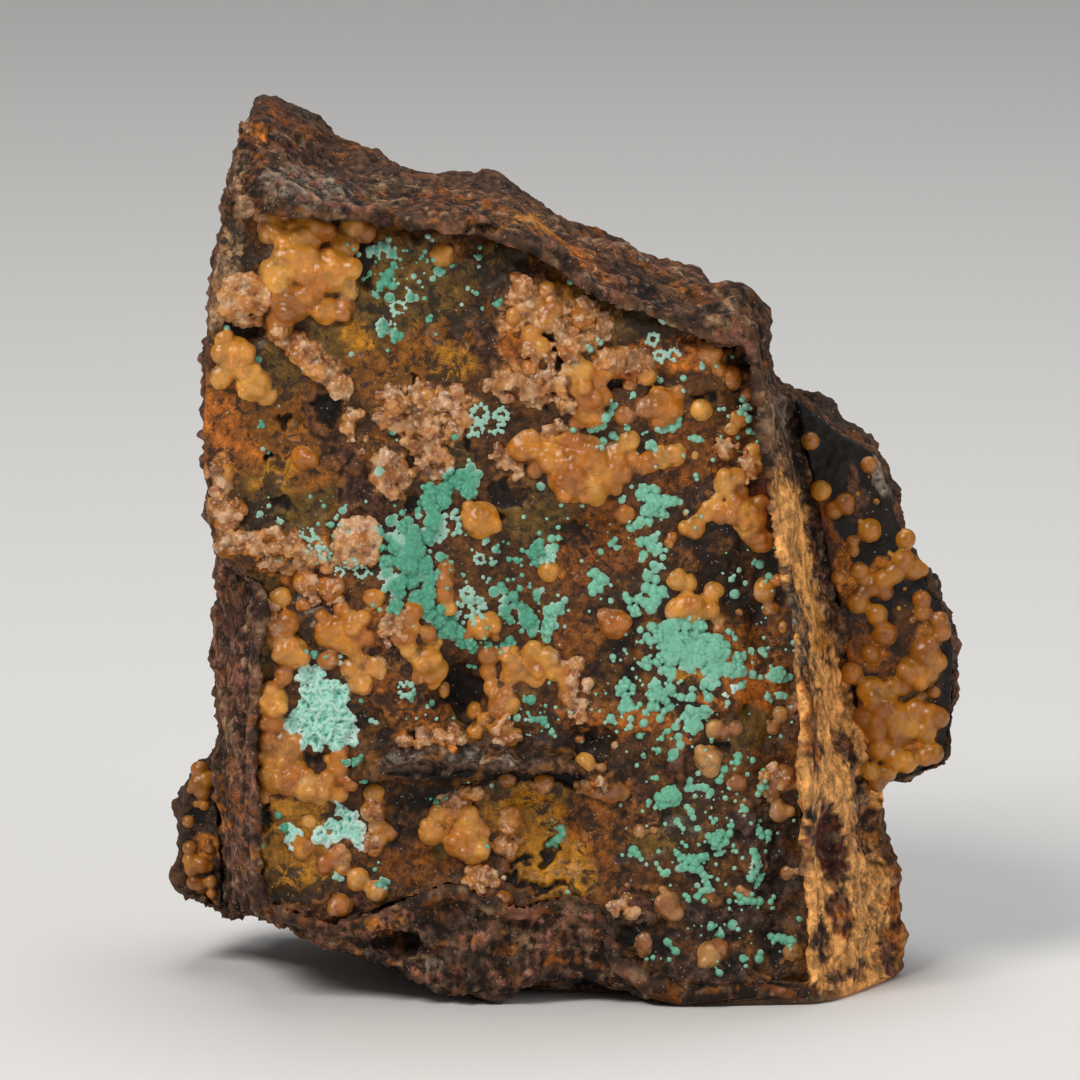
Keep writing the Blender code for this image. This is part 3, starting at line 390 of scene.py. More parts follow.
def growBalls(name, balls, detail, look, soften, hiddenOf, riseOf=None):
    # balls fused to one skin, roughened, and thinned where nobody sees it; balls: centre, radius, stretch
    mesh = meshFrom(name, [ball[0] for ball in balls], [])
    radius = mesh.attributes.new("radius", "FLOAT", "POINT")
    radius.data.foreach_set("value", [ball[1] for ball in balls])
    stretch = mesh.attributes.new("stretch", "FLOAT_VECTOR", "POINT")
    stretch.data.foreach_set("vector", [c for ball in balls for c in ball[2]])
    obj = newObject(name, mesh)
    modifier = obj.modifiers.new(ballNodes.name, "NODES")
    modifier.node_group = ballNodes
    values = {"Detail": detail, "Wobble": look["wobble"], "Wobble Scale": look["wobbleScale"]}
    for item in ballNodes.interface.items_tree:
        if item.in_out == "INPUT" and item.name in values:
            modifier[item.identifier] = values[item.name]
    settle(obj)
    fuse(obj, look["voxel"], soften)
    points = pointsOf(obj.data)
    if riseOf:
        setPoints(obj.data, points + normalsOf(obj.data) * riseOf(points)[:, None])
    thinHidden(obj, hiddenOf(points), look["most"])
    return obj


ballNodes = ballTree()


# ---- the ground of the sunken vein face: smooth iron stain, druse and bare rock under the lumps
ground = {
    "grid": 0.5, "voxel": 0.24, "most": 196000, "back": -9.2, "grow": 0.45, "front": -40.0,
    "edge": [
        (-30.4, 80.0), (-20.6, 79.3), (-11.1, 78.3), (-4.1, 76.4), (3.4, 71.9), (12.9, 67.8), (17.9, 66.3),
        (19.1, 59.2), (20.4, 49.0), (22.4, 38.9), (23.1, 30.8), (23.4, 20.6), (24.0, 10.5), (24.4, 1.8),
        (13.4, 1.5), (8.4, 2.2), (5.6, 4.2), (5.0, 7.6), (3.2, 10.0), (-0.6, 10.8), (-4.6, 9.9),
        (-8.6, 11.2), (-11.8, 12.4), (-14.6, 11.2), (-17.6, 10.3), (-20.1, 9.2), (-23.6, 8.2),
        (-27.6, 9.4), (-30.3, 11.0), (-30.9, 26.7), (-30.2, 36.8), (-29.8, 42.6), (-34.0, 45.4)],
    "openEdge": [(-35.1, 47.5), (-35.7, 57.1), (-35.5, 66.3), (-34.7, 73.6), (-34.1, 77.4), (-33.6, 81.4)],
    # x, height, half width, half height, rise
    "swells": rowsOf(5, [
        -1, 66, 7.5, 7, 2.4, -22.6, 59, 5, 8.5, 1.8, -19, 37.5, 7.5, 12, 2.4, -30.5, 46.3, 7, 1.8, 1.6,
        -27, 22, 6, 2.5, 1, -26, 75, 6, 5, 1, -29.6, 56, 5, 7, -1.2, 17.9, 39, 5.5, 8, -2, -2.6, 17, 7, 5, -2.4,
        -10.2, 31, 2.6, 3.6, -2.6, 2, 46.5, 5, 3, -1.2, 14.5, 54, 4, 4, -1.2, -12, 70, 5, 5, -0.8,
        18, 8.5, 6, 3, -1.6, -32, 68.2, 1.8, 1.6, -2, 12.5, 33, 7, 5, 1, 2.5, 54, 5, 4, 0.8, -16.5, 13, 5, 3, -1.2,
        15, 1.8, 9, 1.5, 1.4]),
    "ledge": [(-20.0, 23.4), (-13.0, 23.2), (-6.5, 23.6), (0.0, 24.4), (3.0, 22.6)],
    "ledgeHalf": 1.2, "ledgeRise": 4.2,
    "base": "brown",
    # stone, x, height as seen, half width, half height, turn in degrees
    "patches": [
        ("brown", -12, 70, 9, 7), ("ochre", -20, 66, 6, 5), ("olive", -16, 70, 6, 6), ("ochre", -13, 65, 5, 3.5),
        ("olive", -24.5, 66, 3.5, 2.5), ("olive", -29, 62.5, 3, 4.5), ("darkBrown", -32.3, 68, 2, 1.8, 20),
        ("ochre", -30, 57, 6.5, 5), ("orange", -34.5, 59.5, 2, 4), ("orange", -33, 54, 3, 4),
        ("olive", -30, 50, 4, 4), ("mustard", -27.5, 53, 4, 1.5, 10), ("ochre", -24.5, 52.5, 3, 2),
        ("olive", -24, 49.5, 4, 2), ("olive", -27, 47.6, 3.5, 1), ("purple", -24.5, 58.8, 2, 2.5),
        ("black", -23.8, 59.5, 1.2, 1.4, 20), ("purple", -22, 53.5, 1.5, 3.5, 20), ("purple", -20.5, 50, 2.5, 2),
        ("brown", -22, 57, 1.5, 2), ("ochre", -19, 57, 1.8, 2.5), ("ochre", -19.5, 55, 1.5, 2),
        ("pinkDruse", -34.5, 51, 1.2, 4), ("orangeDruse", -30.5, 46, 5, 1.3),
        ("pinkDruse", -25.5, 65, 4.2, 1.2, -42), ("pinkDruse", -14, 59.3, 5, 2.4), ("pinkDruse", -13.5, 56, 2.5, 3),
        ("pinkDruse", -17.2, 52.5, 2, 2), ("black", -17.6, 59.2, 0.5, 0.4), ("black", -15.3, 61.5, 0.4, 1.2),
        ("black", -15.3, 54.5, 0.8, 1), ("black", -15.3, 49.8, 0.8, 0.8), ("black", -10, 55, 0.8, 1.4),
        # painted shade: the dark brown patch at x -20, height 74.5 stands where the upper left lies in shadow
        ("olive", -11, 54, 2, 2), ("darkBrown", -20, 74.5, 1.3, 3), ("rust", -12, 75, 1.8, 1),
        ("ochre", -4, 75.5, 4, 2.5, -25), ("olive", -6, 74.2, 3, 1.4, -20), ("brown", -3, 73, 3, 1),
        ("grey", 0.5, 74.8, 2.5, 1.2, -35), ("olive", -10.5, 72.5, 2.5, 1.6), ("pinkDruse", -3, 66, 4.5, 6),
        ("pinkDruse", 0.5, 67, 4, 2), ("ochre", 1, 71.5, 3, 1.5, -25), ("olive", 4, 70, 3, 2, -20),
        ("olive", 6, 69, 3, 2.5), ("black", 7.5, 71, 2, 1, -30), ("ochre", 10, 66, 3, 2.5),
        ("orange", 12.5, 64, 2, 4), ("olive", 8, 68, 1.5, 1.5), ("black", 13.8, 69, 1.5, 1.5),
        ("darkBrown", 15.5, 67.5, 2, 2), ("darkBrown", 17.5, 64, 1, 4), ("salmon", 7, 64.5, 2.5, 2),
        ("salmon", 4.5, 64, 2, 1.6), ("black", 4.8, 61.7, 0.8, 0.7), ("brown", 12, 61, 5, 2),
        ("black", 14, 60.5, 1, 0.8), ("rust", 14, 55.5, 5, 3), ("rust", 12, 52, 3, 3),
        ("darkBrown", 15.5, 47, 3.5, 3.5), ("redPit", 19.5, 51, 1.2, 1.5), ("brown", 6.5, 57, 2, 2),
        ("olive", -3, 49, 4, 3), ("black", -6.5, 51.2, 1.5, 1.1), ("darkBrown", -5, 50.5, 2, 1),
        ("black", -6.8, 48.5, 1, 0.7), ("rust", 3.5, 48, 3, 2.5), ("rust", 5, 45, 3, 2.5),
        ("darkBrown", 1, 46.5, 1.3, 1.6), ("rust", 0.5, 44, 2, 3), ("brown", 9, 47, 2, 2),
        ("orangeDruse", -26, 44.5, 5, 2, 10), ("purple", -29.3, 44.6, 1.3, 0.4), ("olive", -30, 42.5, 1.2, 1),
        ("rust", -25, 42, 3, 2.5), ("brown", -24.5, 40.5, 2, 1.5), ("grey", -25, 39.3, 2.2, 1, -45),
        ("amber", -29.5, 37, 1.5, 2.5), ("olive", -30.5, 34.5, 1, 2), ("brown", -29, 32.5, 1.2, 1.5),
        ("rust", -18.7, 37.5, 1.2, 2.5), ("darkBrown", -18, 34, 1.5, 1.5), ("rust", -17.5, 30.5, 2.5, 2.5),
        ("darkBrown", -19.5, 27.5, 2, 2), ("mustard", -29.6, 29, 1.2, 2.5), ("mustard", -30, 25.5, 0.8, 2.5),
        ("darkBrown", -25, 24.5, 1, 0.8), ("mustard", -27, 19.5, 3, 1.2), ("black", -30.3, 18.5, 0.6, 2.5),
        ("mustard", -27, 14.5, 4.5, 4), ("black", -30.5, 13.5, 0.6, 1.2), ("ochre", -20, 12.5, 2.5, 1.5),
        ("purple", -25, 9.5, 5, 0.8), ("purple", -21.5, 9.8, 1.5, 0.8), ("black", -11, 30.5, 2.6, 3.2),
        ("rust", -14, 28.5, 3, 1.2), ("orangeDruse", -13.5, 26.5, 4, 1.3), ("black", -14.6, 26.7, 1, 0.9),
        ("darkRock", -10, 23.4, 11, 1.3, 2), ("darkBrown", -12, 20.5, 5, 1.8), ("darkBrown", -17.5, 18, 1.2, 3),
        ("brown", -13, 18, 2, 1.5), ("rust", -15, 13.5, 4, 2), ("olive", -13, 15, 1, 1), ("amber", -10.5, 17, 2, 2),
        ("olive", -11, 28, 1.5, 0.8), ("mustard", -3.5, 18.6, 5, 4), ("mustard", 0, 14, 5, 3.6),
        ("orange", 2.5, 18, 2.5, 2.5), ("black", -2, 14.5, 0.8, 1.6), ("black", 3.5, 14.5, 0.7, 0.8),
        ("black", -4.5, 14, 1, 0.6), ("black", -5.5, 12.5, 1, 0.7), ("black", -3, 11.5, 2.5, 0.5),
        ("rust", 4.5, 15, 2.2, 4), ("purple", 6, 20.5, 2, 2), ("brown", 7, 13.5, 2, 2.5),
        ("orange", 4, 21.3, 2.5, 0.8), ("black", 0, 22.3, 3, 0.8), ("brown", -3, 31, 3.5, 3), ("rust", 1, 36, 4, 3),
        ("rust", 2, 29.5, 3, 3.5), ("darkBrown", 5, 33, 2.5, 3.5), ("darkBrown", 3, 26, 2, 1.5),
        ("orange", 9.5, 27, 4, 2), ("mustard", 12.5, 32.5, 2.2, 1.2), ("orange", 8, 28.5, 2.5, 1.5),
        ("orange", 14.5, 30, 1.5, 1), ("orange", 19, 32.5, 3, 3.5), ("rust", 18.5, 36.5, 3, 1.5),
        ("darkBrown", 18, 42, 5, 3.5), ("brown", 8, 25, 3, 2), ("purple", 11, 23.5, 1, 1.5),
        ("olive", 18.5, 27.5, 3, 2), ("black", 16, 25.8, 1, 0.5), ("pinkRock", 22.8, 29.5, 0.6, 3),
        ("olive", 12.5, 18.5, 3, 2), ("purple", 7.5, 18.5, 2, 2), ("olive", 9, 16, 3, 1.5),
        ("brown", 16.5, 19, 3, 2), ("darkBrown", 15.5, 13, 3, 2.5), ("darkRock", 19, 16, 3, 4),
        ("darkRock", 21.5, 12, 2.5, 2.5), ("darkRock", 14, 8, 8, 2.2), ("purple", 6.5, 10.5, 3, 1.2),
        ("amber", 10.2, 9.5, 1.3, 1.3), ("black", 8, 6, 3, 2), ("darkRock", 16, 3, 7, 1.8),
        ("darkBrown", 20, 5, 3, 2), ("brown", 23, 9, 1, 2), ("black", -28.5, 50, 1.1, 0.9),
        ("black", -30, 54.3, 0.6, 0.5), ("black", -28.4, 58, 0.7, 0.35), ("mustard", -11.2, 64, 2.6, 1.8, 20),
        ("mustard", -20.6, 66.4, 2, 1.4), ("beige", -34.2, 72.5, 1.3, 6, -12), ("darkRock", -9, 24.7, 10, 0.8, -2),
        # painted shadow: the black patch at x -9, height 22.5 lies under the ledge's crest
        ("black", -9, 22.5, 9, 0.7, -2), ("grey", -9, 24.6, 6, 0.45, -3), ("grey", -17, 24.4, 2.5, 0.4, 6),
        ("black", -1.6, 66.2, 0.7, 0.6), ("black", 4.9, 61.8, 0.9, 0.8), ("black", -2, 60.2, 0.9, 0.8),
        ("black", -1, 64.4, 0.6, 0.9), ("purple", -8, 65.8, 1.4, 2.2), ("orange", -5.2, 66, 1.6, 1.8),
        ("rust", -3.4, 63.8, 1.6, 1.2)],
}


def stack(x, y, z):
    return np.stack(np.broadcast_arrays(x, y, z), axis=1).astype(float)


def veinDepth(x, z):
    # depth (y) of the ground at x and height z
    depth = np.full(len(x), -14.0)
    depth -= 1.6 * bell(np.maximum(0, x + 36) / 8)
    depth -= 1.2 * bell(np.maximum(0, z - 8) / 8)
    rim = z - (80.5 - 0.30 * np.maximum(0, x + 12))
    depth += 1.6 * bell(np.minimum(0, rim) / 5) * (1 - 0.8 * bell((x - 8) / 7))
    depth += 1.4 * bell(np.minimum(0, x - 20 - 0.05 * (49 - z)) / 3)
    for x0, z0, halfX, halfZ, rise in ground["swells"]:
        depth -= rise * bell(np.hypot((x - x0) / halfX, (z - z0) / halfZ))
    ledge = np.array(ground["ledge"])
    ends = np.maximum(np.maximum(ledge[0, 0] - x, x - ledge[-1, 0]), 0)
    wander = noiseAt(stack(x, 8, 0), 0.25)
    above = z - np.interp(x, ledge[:, 0], ledge[:, 1]) - 1.2 * wander
    half = ground["ledgeHalf"] * np.where(above > 0, 1.5, 0.8)
    depth -= ground["ledgeRise"] * (0.9 + 0.9 * wander) * bell(above / half) * bell(ends / 2)
    depth -= 0.9 * noiseAt(stack(x, 11, z), 0.16)
    return depth - 0.5 * noiseAt(stack(x, 7, z), 0.4)


def grown(outline, distance):
    # an outline moved outwards
    turns = sum(a[0] * b[1] - b[0] * a[1] for a, b in zip(outline, outline[1:] + outline[:1]))
    if turns > 0:
        outline = outline[::-1]
    moved = []
    for i, here in enumerate(outline):
        before, after = Vector(outline[i - 1]), Vector(outline[(i + 1) % len(outline)])
        here = Vector(here)
        sideIn, sideOut = (here - before).normalized(), (after - here).normalized()
        out = Vector((-sideIn.y - sideOut.y, sideIn.x + sideOut.x)).normalized()
        lean = max(0.5, out.dot(Vector((-sideIn.y, sideIn.x))))
        moved.append(tuple(here + out * distance / lean))
    return moved


def prism(name, outline, front, back):
    # a flat outline in x and z, thick along y
    curve = bpy.data.curves.new(name, "CURVE")
    curve.dimensions = "2D"
    curve.fill_mode = "BOTH"
    curve.extrude = (back - front) / 2
    spline = curve.splines.new("POLY")
    spline.points.add(len(outline) - 1)
    for point, (x, z) in zip(spline.points, outline):
        point.co = (x, z, 0, 1)
    spline.use_cyclic_u = True
    raw = newObject(name, curve)
    bpy.context.view_layer.update()
    mesh = bpy.data.meshes.new_from_object(raw.evaluated_get(bpy.context.evaluated_depsgraph_get()))
    bpy.data.objects.remove(raw)
    bm = bmesh.new()
    bm.from_mesh(mesh)
    bmesh.ops.remove_doubles(bm, verts=bm.verts, dist=1e-4)
    bm.transform(Matrix.Translation((0, (front + back) / 2, 0)) @ Matrix.Rotation(math.pi / 2, 4, "X"))
    bmesh.ops.recalc_face_normals(bm, faces=bm.faces)
    bmesh.ops.triangulate(bm, faces=bm.faces)
    bm.to_mesh(mesh)
    bm.free()
    return newObject(name, mesh)


def slabUnder(name, outline, surface, grid, front, back):
    # a closed slab over an outline whose front follows surface(x, z)
    lowX, highX = min(p[0] for p in outline) - 1, max(p[0] for p in outline) + 1
    lowZ, highZ = min(p[1] for p in outline) - 1, max(p[1] for p in outline) + 1
    xs, zs = np.arange(lowX, highX, grid), np.arange(lowZ, highZ, grid)
    x, z = (a.ravel() for a in np.meshgrid(xs, zs))
    points = np.concatenate((stack(x, surface(x, z), z), stack(x, back, z)))
    wide, count = len(xs), len(x)
    cell = (np.arange(len(zs) - 1)[:, None] * wide + np.arange(wide - 1)[None, :]).ravel()
    quads = np.stack((cell, cell + 1, cell + wide + 1, cell + wide), axis=1)
    rim = list(range(wide)) + [k * wide + wide - 1 for k in range(1, len(zs))]
    rim += list(range(count - 2, count - wide - 1, -1)) + [k * wide for k in range(len(zs) - 2, 0, -1)]
    sides = [(b, a, a + count, b + count) for a, b in zip(rim, rim[1:] + rim[:1])]
    faces = quads.tolist() + (quads[:, ::-1] + count).tolist() + sides
    slab = newObject(name, meshFrom(name, points, faces))
    cutter = prism(name + "Edge", outline, front, back - 0.01)
    boolean = slab.modifiers.new("edge", "BOOLEAN")
    boolean.solver = "MANIFOLD"
    boolean.operation = "INTERSECT"
    boolean.object = cutter
    settle(slab)
    bpy.data.objects.remove(cutter)
    return slab


def freeSide(points):
    # the crust's broken side, which stands free at the left
    return smooth(0.8, 1.6, points[:, 1] - veinDepth(points[:, 0], points[:, 2])) * (points[:, 0] < -28)


rustyBrown = hexColour("80501c")


def groundLooks(points):
    x, v = points[:, 0], seenHeight(points)
    looks = paintPatches(x, v, points, ground["patches"], ground["base"], 0.9)
    rusty = smooth(0.05, 0.45, noiseAt(points, 0.33, 41.0) + 0.5 * noiseAt(points, 0.9, 43.0)) * 0.5
    looks[:, :3] += (rustyBrown - looks[:, :3]) * (rusty * smooth(0.05, 0.3, looks[:, 3]))[:, None]
    tone = 1 + (0.2 + 0.5 * looks[:, 3]) * (noiseAt(points, 0.8, 47.0) + noiseAt(points, 1.9, 49.0))
    looks[:, :3] *= np.clip(tone, 0.35, 1.8)[:, None]
    streak = smooth(-0.25, 0.35, noiseAt(points, (2.2, 1.2, 0.35), 61.0))[:, None]
    side = tintOf["darkRock"] + (tintOf["bark"] - tintOf["darkRock"]) * streak
    return looks + (side - looks) * freeSide(points)[:, None]


def roughenGround(points, normals, looks):
    # druse and broken rock stand up, iron stain stays smooth, dark spots lie deeper
    rough = looks[:, 3]
    rise = 0.30 * noiseAt(points, 0.45, 5.0) + 0.14 * noiseAt(points, 1.1, 8.0) + looks[:, 6]
    rise += (0.04 + 0.75 * rough) * (domesAt(points, 0.7, 2.0) - 0.5)
    rise += (0.04 + 0.30 * rough) * (domesAt(points, 1.6, 5.0) - 0.5)
    rise -= smooth(0.42, 0.75, rough) * (1.3 * facetsAt(points, 0.42, 2.0) + 0.5 * facetsAt(points, 1.1, 5.0))
    rise += freeSide(points) * (0.7 * noiseAt(points, (1.3, 0.9, 0.2), 90.0) - 1.0 * facetsAt(points, 0.5, 9.0))
    return points + normals * rise[:, None]


def buildGround():
    edge = grown(ground["edge"] + ground["openEdge"], ground["grow"])
    slab = slabUnder("smithsonite_ground", edge, veinDepth, ground["grid"], ground["front"], ground["back"])
    fuse(slab, ground["voxel"], 1)
    points = pointsOf(slab.data)
    points = roughenGround(points, normalsOf(slab.data), groundLooks(points))
    setPoints(slab.data, points)
    behind = points[:, 1] > veinDepth(points[:, 0], points[:, 2]) + 1.8
    thinHidden(slab, behind & ((points[:, 0] > -33) | (points[:, 1] > -9.6)), ground["most"])
    return slab


print("ground of the vein face")
groundPiece = buildGround()
groundTree = faceTree(groundPiece.data)


# ---- waxy smithsonite lumps on the ground: x, height as seen, radius
lumps = {
    "voxel": 0.19, "most": 197000, "sink": 0.30, "wobble": 0.22, "wobbleScale": 0.6,
    "balls": rowsOf(3, [
        1.4, 61.9, 1.4, 2.4, 60.4, 1.5, 1, 63.6, 1.2, 3.6, 60.6, 1, -1.7, 68.4, 1.3, -29.4, 77.2, 1.6,
        -26, 77.2, 2.2, -24.5, 77, 1.5, -23.5, 73.1, 2.6, -26.8, 74, 2.2, -28.8, 72.7, 1.9, -24, 69.3, 1.6,
        -22.3, 69.5, 1.3, -27.5, 69.9, 2, -28.5, 68.4, 1.5, -21.5, 77.4, 1.3, -20, 76.9, 1.2, -33, 64.5, 2.1,
        -31.2, 61.9, 1.9, -27.2, 75.9, 1.5, -30.2, 79, 1.2, -28, 79.2, 1.3, -22.3, 75.6, 1.4, -25.4, 71.4, 1.5,
        -21.9, 71.2, 1.3, -28.5, 67, 1.3, -26.5, 65, 1.2, -24.5, 63.2, 1.2, -22.5, 61.5, 1.1, -12.5, 74.8, 1.3,
        -34.2, 66.4, 1.2, -34.6, 62.6, 1.2, -30, 60.9, 1.2, -4.3, 71.2, 1.1, -3.1, 70, 1.1, -1.8, 68.5, 1.4,
        -3.5, 66.8, 1.1, -2.5, 65.5, 1, -5.8, 62.5, 1.2, -1.9, 71.2, 1, 1.8, 68.9, 1.4, 1.5, 63, 1.4, 2.3, 59.2, 1.7,
        4.5, 64, 1.5, 8, 63, 1.2, 9.8, 59.6, 2, 8, 59.6, 1.2, 5.8, 58.8, 1.1, 14.3, 65, 1.3, 16.5, 62.5, 1.2,
        13.5, 59.3, 1.1, 17.2, 58.5, 1.1, -26.2, 54.6, 1.3, -34.3, 53, 1.2, -33.3, 49.5, 1.4, -34, 48, 1.3,
        -17, 60, 1.2, -14, 60.5, 1.2, -14, 57.5, 1.1, -11, 57.8, 1.1, -17, 53.5, 1.2, -4.4, 55.6, 1.6,
        -1.5, 56.8, 1.2, -1.5, 54.5, 1.8, 0.5, 52.5, 2.3, -9.2, 48.9, 1.4, -8.5, 48.3, 1.8, 2, 54.5, 2.4,
        0.5, 56, 1.4, 5, 55.2, 1.3, 4.5, 54, 1.6, 3.5, 53, 2, 2.5, 51.8, 2, 0.8, 51.3, 1.3, 3, 50.9, 1.2,
        5.5, 53, 1.3, 6.2, 56.3, 1.2, 8.3, 54.1, 1.2, 9.5, 54.6, 1.3, 10.8, 55, 1.3, 5.9, 49, 1.1, 12.7, 47.7, 1.3,
        14.3, 49.3, 1.2, 15.5, 49, 1.2, 16.6, 49.3, 1.3, 17.5, 49.7, 1.4, 18.7, 48.6, 1.5, 18.3, 47.5, 1.4,
        19, 46.8, 1.3, 19.6, 46.2, 1.2, 16, 51.8, 1.3, 17, 52.5, 1.1, 18.8, 53.9, 1.2, 18.6, 55.1, 1.1, 16, 55.2, 1,
        11, 42.4, 1.2, 12.2, 42, 1, 14.8, 41.2, 1, 19.9, 41.3, 1.2, 12, 39.7, 1.6, 10.8, 39.4, 1.2, 13.5, 39.5, 1.4,
        14.4, 40, 1, 12.5, 38.9, 1.1, 4.8, 38, 1.7, 20.6, 39.5, 1, -7.8, 34.8, 1.2, -7.7, 33.2, 1, -5.8, 35, 1.1,
        -5.2, 34, 1.3, -5.5, 32.7, 1.1, -3.2, 34.7, 1.3, -2.9, 33.6, 1.5, -1.6, 34.5, 1.2, -3, 32.4, 1, 0.3, 33.5, 1,
        0.3, 32, 1.1, 0.2, 30.8, 1, -6.6, 29.7, 1.3, -5.5, 29.8, 1, -6.5, 27.3, 1.2, -6, 26.3, 1.2, -9, 29, 1.1,
        -9, 27, 1, -15.5, 39.2, 1.2, -16.2, 38.2, 1.2, -16.3, 36.8, 1.3, -15.8, 35.5, 1, -14, 37, 1, -14, 34.2, 1.7,
        -13.2, 33.4, 1.4, -13.5, 32.3, 1, -12.6, 31.3, 1, -12, 43.5, 1, -12.2, 42.2, 1.1, -12.2, 40.8, 1.1,
        -11.9, 39.6, 1, -8.8, 37.6, 1.3, -7.6, 38, 1.3, -1.7, 43.2, 1.2, -27.8, 38, 1.2, -29, 37.5, 1.3,
        -27.5, 35.1, 1.7, -28.3, 32.7, 1.1, -29.4, 30.1, 1.7, -29.6, 28, 1.3, -29.8, 26.2, 1.3, -28.4, 25.8, 1.8,
        -23.5, 37.2, 1.8, -21.2, 38, 1.5, -21.6, 36.3, 1.5, -23.8, 34.3, 1.1, -21.6, 33.4, 1.2, -20.5, 32.2, 1.5,
        -19, 33.7, 1.3, -19.2, 40.4, 1.1, -26, 42.3, 1.5, -23.5, 41.5, 1.4, -28.6, 40.6, 1.1, -28, 24.8, 2,
        -29.4, 24.4, 1.6, -29.4, 22.2, 1.4, -27.9, 22, 1.4, -26, 21.6, 1.6, -24.4, 21.5, 1.4, -23, 20.9, 1.1,
        -22.7, 24.9, 1.1, -22.7, 23.4, 1.3, -19.3, 21, 1.1, -19.2, 20, 1.1, -19.5, 19.1, 1.1, -19, 17.6, 1,
        -17.8, 17, 1, -19, 16.2, 1, -26.6, 15.6, 1.2, -24.3, 13.7, 1.1, -23.3, 14.6, 1.3, -22.4, 14.6, 1,
        -9.8, 21, 1.1, -11.5, 19.2, 1.1, -12.8, 18.8, 1.1, -13.5, 17, 1.3, -9.7, 18.7, 1, -9.9, 16.9, 2,
        -9.5, 15.5, 1.8, -10.6, 15.8, 1.6, -5.9, 18.2, 1.3, -6.4, 15.6, 1.2, 1.9, 23.9, 1.1, 4.5, 21.2, 1.3,
        14.2, 24.4, 1.5, 14.4, 23.5, 1.1, 17.1, 22, 1, 21.6, 22.4, 1.4, 20.8, 21.4, 1, 21.4, 19, 1.1,
        14.9, 27.4, 1.2, 10.2, 9.6, 1.3, 10.8, 8.8, 1, 7.8, 5.8, 1.1, 14.5, 4.6, 1.4, 15.3, 5.1, 1.2,
        22.4, 12.9, 1.1, 22.9, 4.8, 1, 10.5, 46.6, 0.6, 10.3, 45.9, 0.6, 21.3, 42.3, 0.7, 17, 58.6, 0.8,
        16.5, 57.5, 0.8, 15.2, 38.3, 0.8, 15.3, 37.3, 0.7, 17.3, 39, 0.5, 21.8, 37.5, 0.6, 15.8, 27, 0.7,
        17, 27.5, 0.8, 20.8, 27.5, 0.8, 20.3, 28.1, 0.3, 21.5, 28.8, 0.9, -6, 30.7, 0.9, -4.8, 27, 0.5,
        -0.3, 31.8, 0.6, -2.9, 35.2, 0.8, -1.7, 43.2, 1.1, -22.8, 22.8, 1, -25.8, 18, 0.8, -27, 16, 1.1,
        -26, 15.6, 0.8, -26.5, 15, 1, -22.5, 13.4, 0.8, -19.2, 15.2, 0.8, -21, 12.2, 1.2, -19, 11, 1.2,
        -22.8, 9.6, 1.3, -6, 22.3, 1, -2.3, 22, 1.2, -9.7, 18.7, 0.8, -5.3, 18.8, 0.8, -5.6, 14.7, 0.8,
        -8, 12.3, 0.9, -6.3, 10.2, 1, 3.6, 23.4, 0.6, 3.2, 21.3, 1, 5.6, 21, 0.9, 2.5, 9, 0.5, 1.3, 26.3, 0.6,
        5, 25.7, 0.5, 23.2, 22, 0.8, 20.8, 22.8, 0.7, 21.2, 19.8, 0.8, 20.5, 20.3, 0.5, 22.5, 19, 0.6,
        8.8, 17.2, 0.5, 7.5, 17, 0.8, 17.5, 11.2, 0.5, 18.3, 10.8, 0.5, 23.4, 13.1, 0.5, 21.8, 3.8, 0.4,
        6.2, 11.5, 0.4, 8, 11.4, 0.5, 9.7, 11.2, 0.5, 7.8, 6.2, 0.9, 7.9, 5, 0.8, 10.2, 9.7, 1, -29.8, 30, 1.6,
        -31.2, 24.8, 0.8, -15.3, 37.6, 0.8, -13, 36, 0.7, -14.8, 32.6, 0.8, -7, 36.6, 0.5, -9.9, 36.8, 0.7,
        -4.4, 32.8, 0.8, -1.2, 33, 0.9, -7.4, 31.5, 0.9, -8.2, 28.2, 0.8, -24.4, 38.6, 0.9, -22.4, 39.4, 0.9,
        -20, 36.6, 1, -26.2, 39.8, 0.9, -28.6, 35.9, 0.9, -30.2, 38.9, 0.7, -18.7, 33, 0.8, -20.6, 34.5, 0.9,
        -27, 23.3, 1.1, -30.4, 20.6, 0.9, -24.8, 20.4, 0.8, -21.6, 21.9, 0.8, -23.8, 24.4, 0.7, 12.9, 54.8, 0.5,
        7.5, 53.4, 0.8, 6.6, 54.6, 0.8, -0.4, 50.9, 0.9, -2.9, 53.4, 1, -3.2, 56.7, 0.9, 1, 58, 0.9, 4.9, 51.6, 0.9,
        11.9, 49.1, 0.4, 15, 50.4, 0.7, 17.6, 51.2, 0.8, 19.4, 50, 0.9, 6.4, 61.8, 0.8, 11.2, 61, 0.9,
        8.9, 58.2, 0.9, 15.3, 63.3, 0.8, 18, 60.9, 0.8, -0.6, 62, 0.9, -3.6, 63.4, 0.9, 0.4, 64.8, 0.9,
        3.3, 62.2, 0.8, -5.2, 68.6, 0.8]),
}


def seatBalls(tree, balls, sink, stretch=(1, 1, 1)):
    # centres a little under the surface where each ball is seen
    seated = []
    for x, v, radius in balls:
        place = seatOn(tree, x, v)[0]
        if place is not None:
            seated.append((place + sightDir * radius * sink, radius, stretch))
    return seated


def ringBalls(tree, rings, rng, sink, part=1.0):
    seated = []
    for x, v, radius, thick in rings:
        count = max(6, int(2 * math.pi * radius / (thick * 0.75)))
        for k in range(count):
            if rng.random() > part:
                continue
            a = 2 * math.pi * k / count
            wide = radius * (1 + 0.15 * rng.uniform(-1, 1))
            seated += seatBalls(tree, [(x + wide * math.cos(a), v + wide * math.sin(a),
                                        thick * rng.uniform(0.8, 1.15))], sink)
    return seated


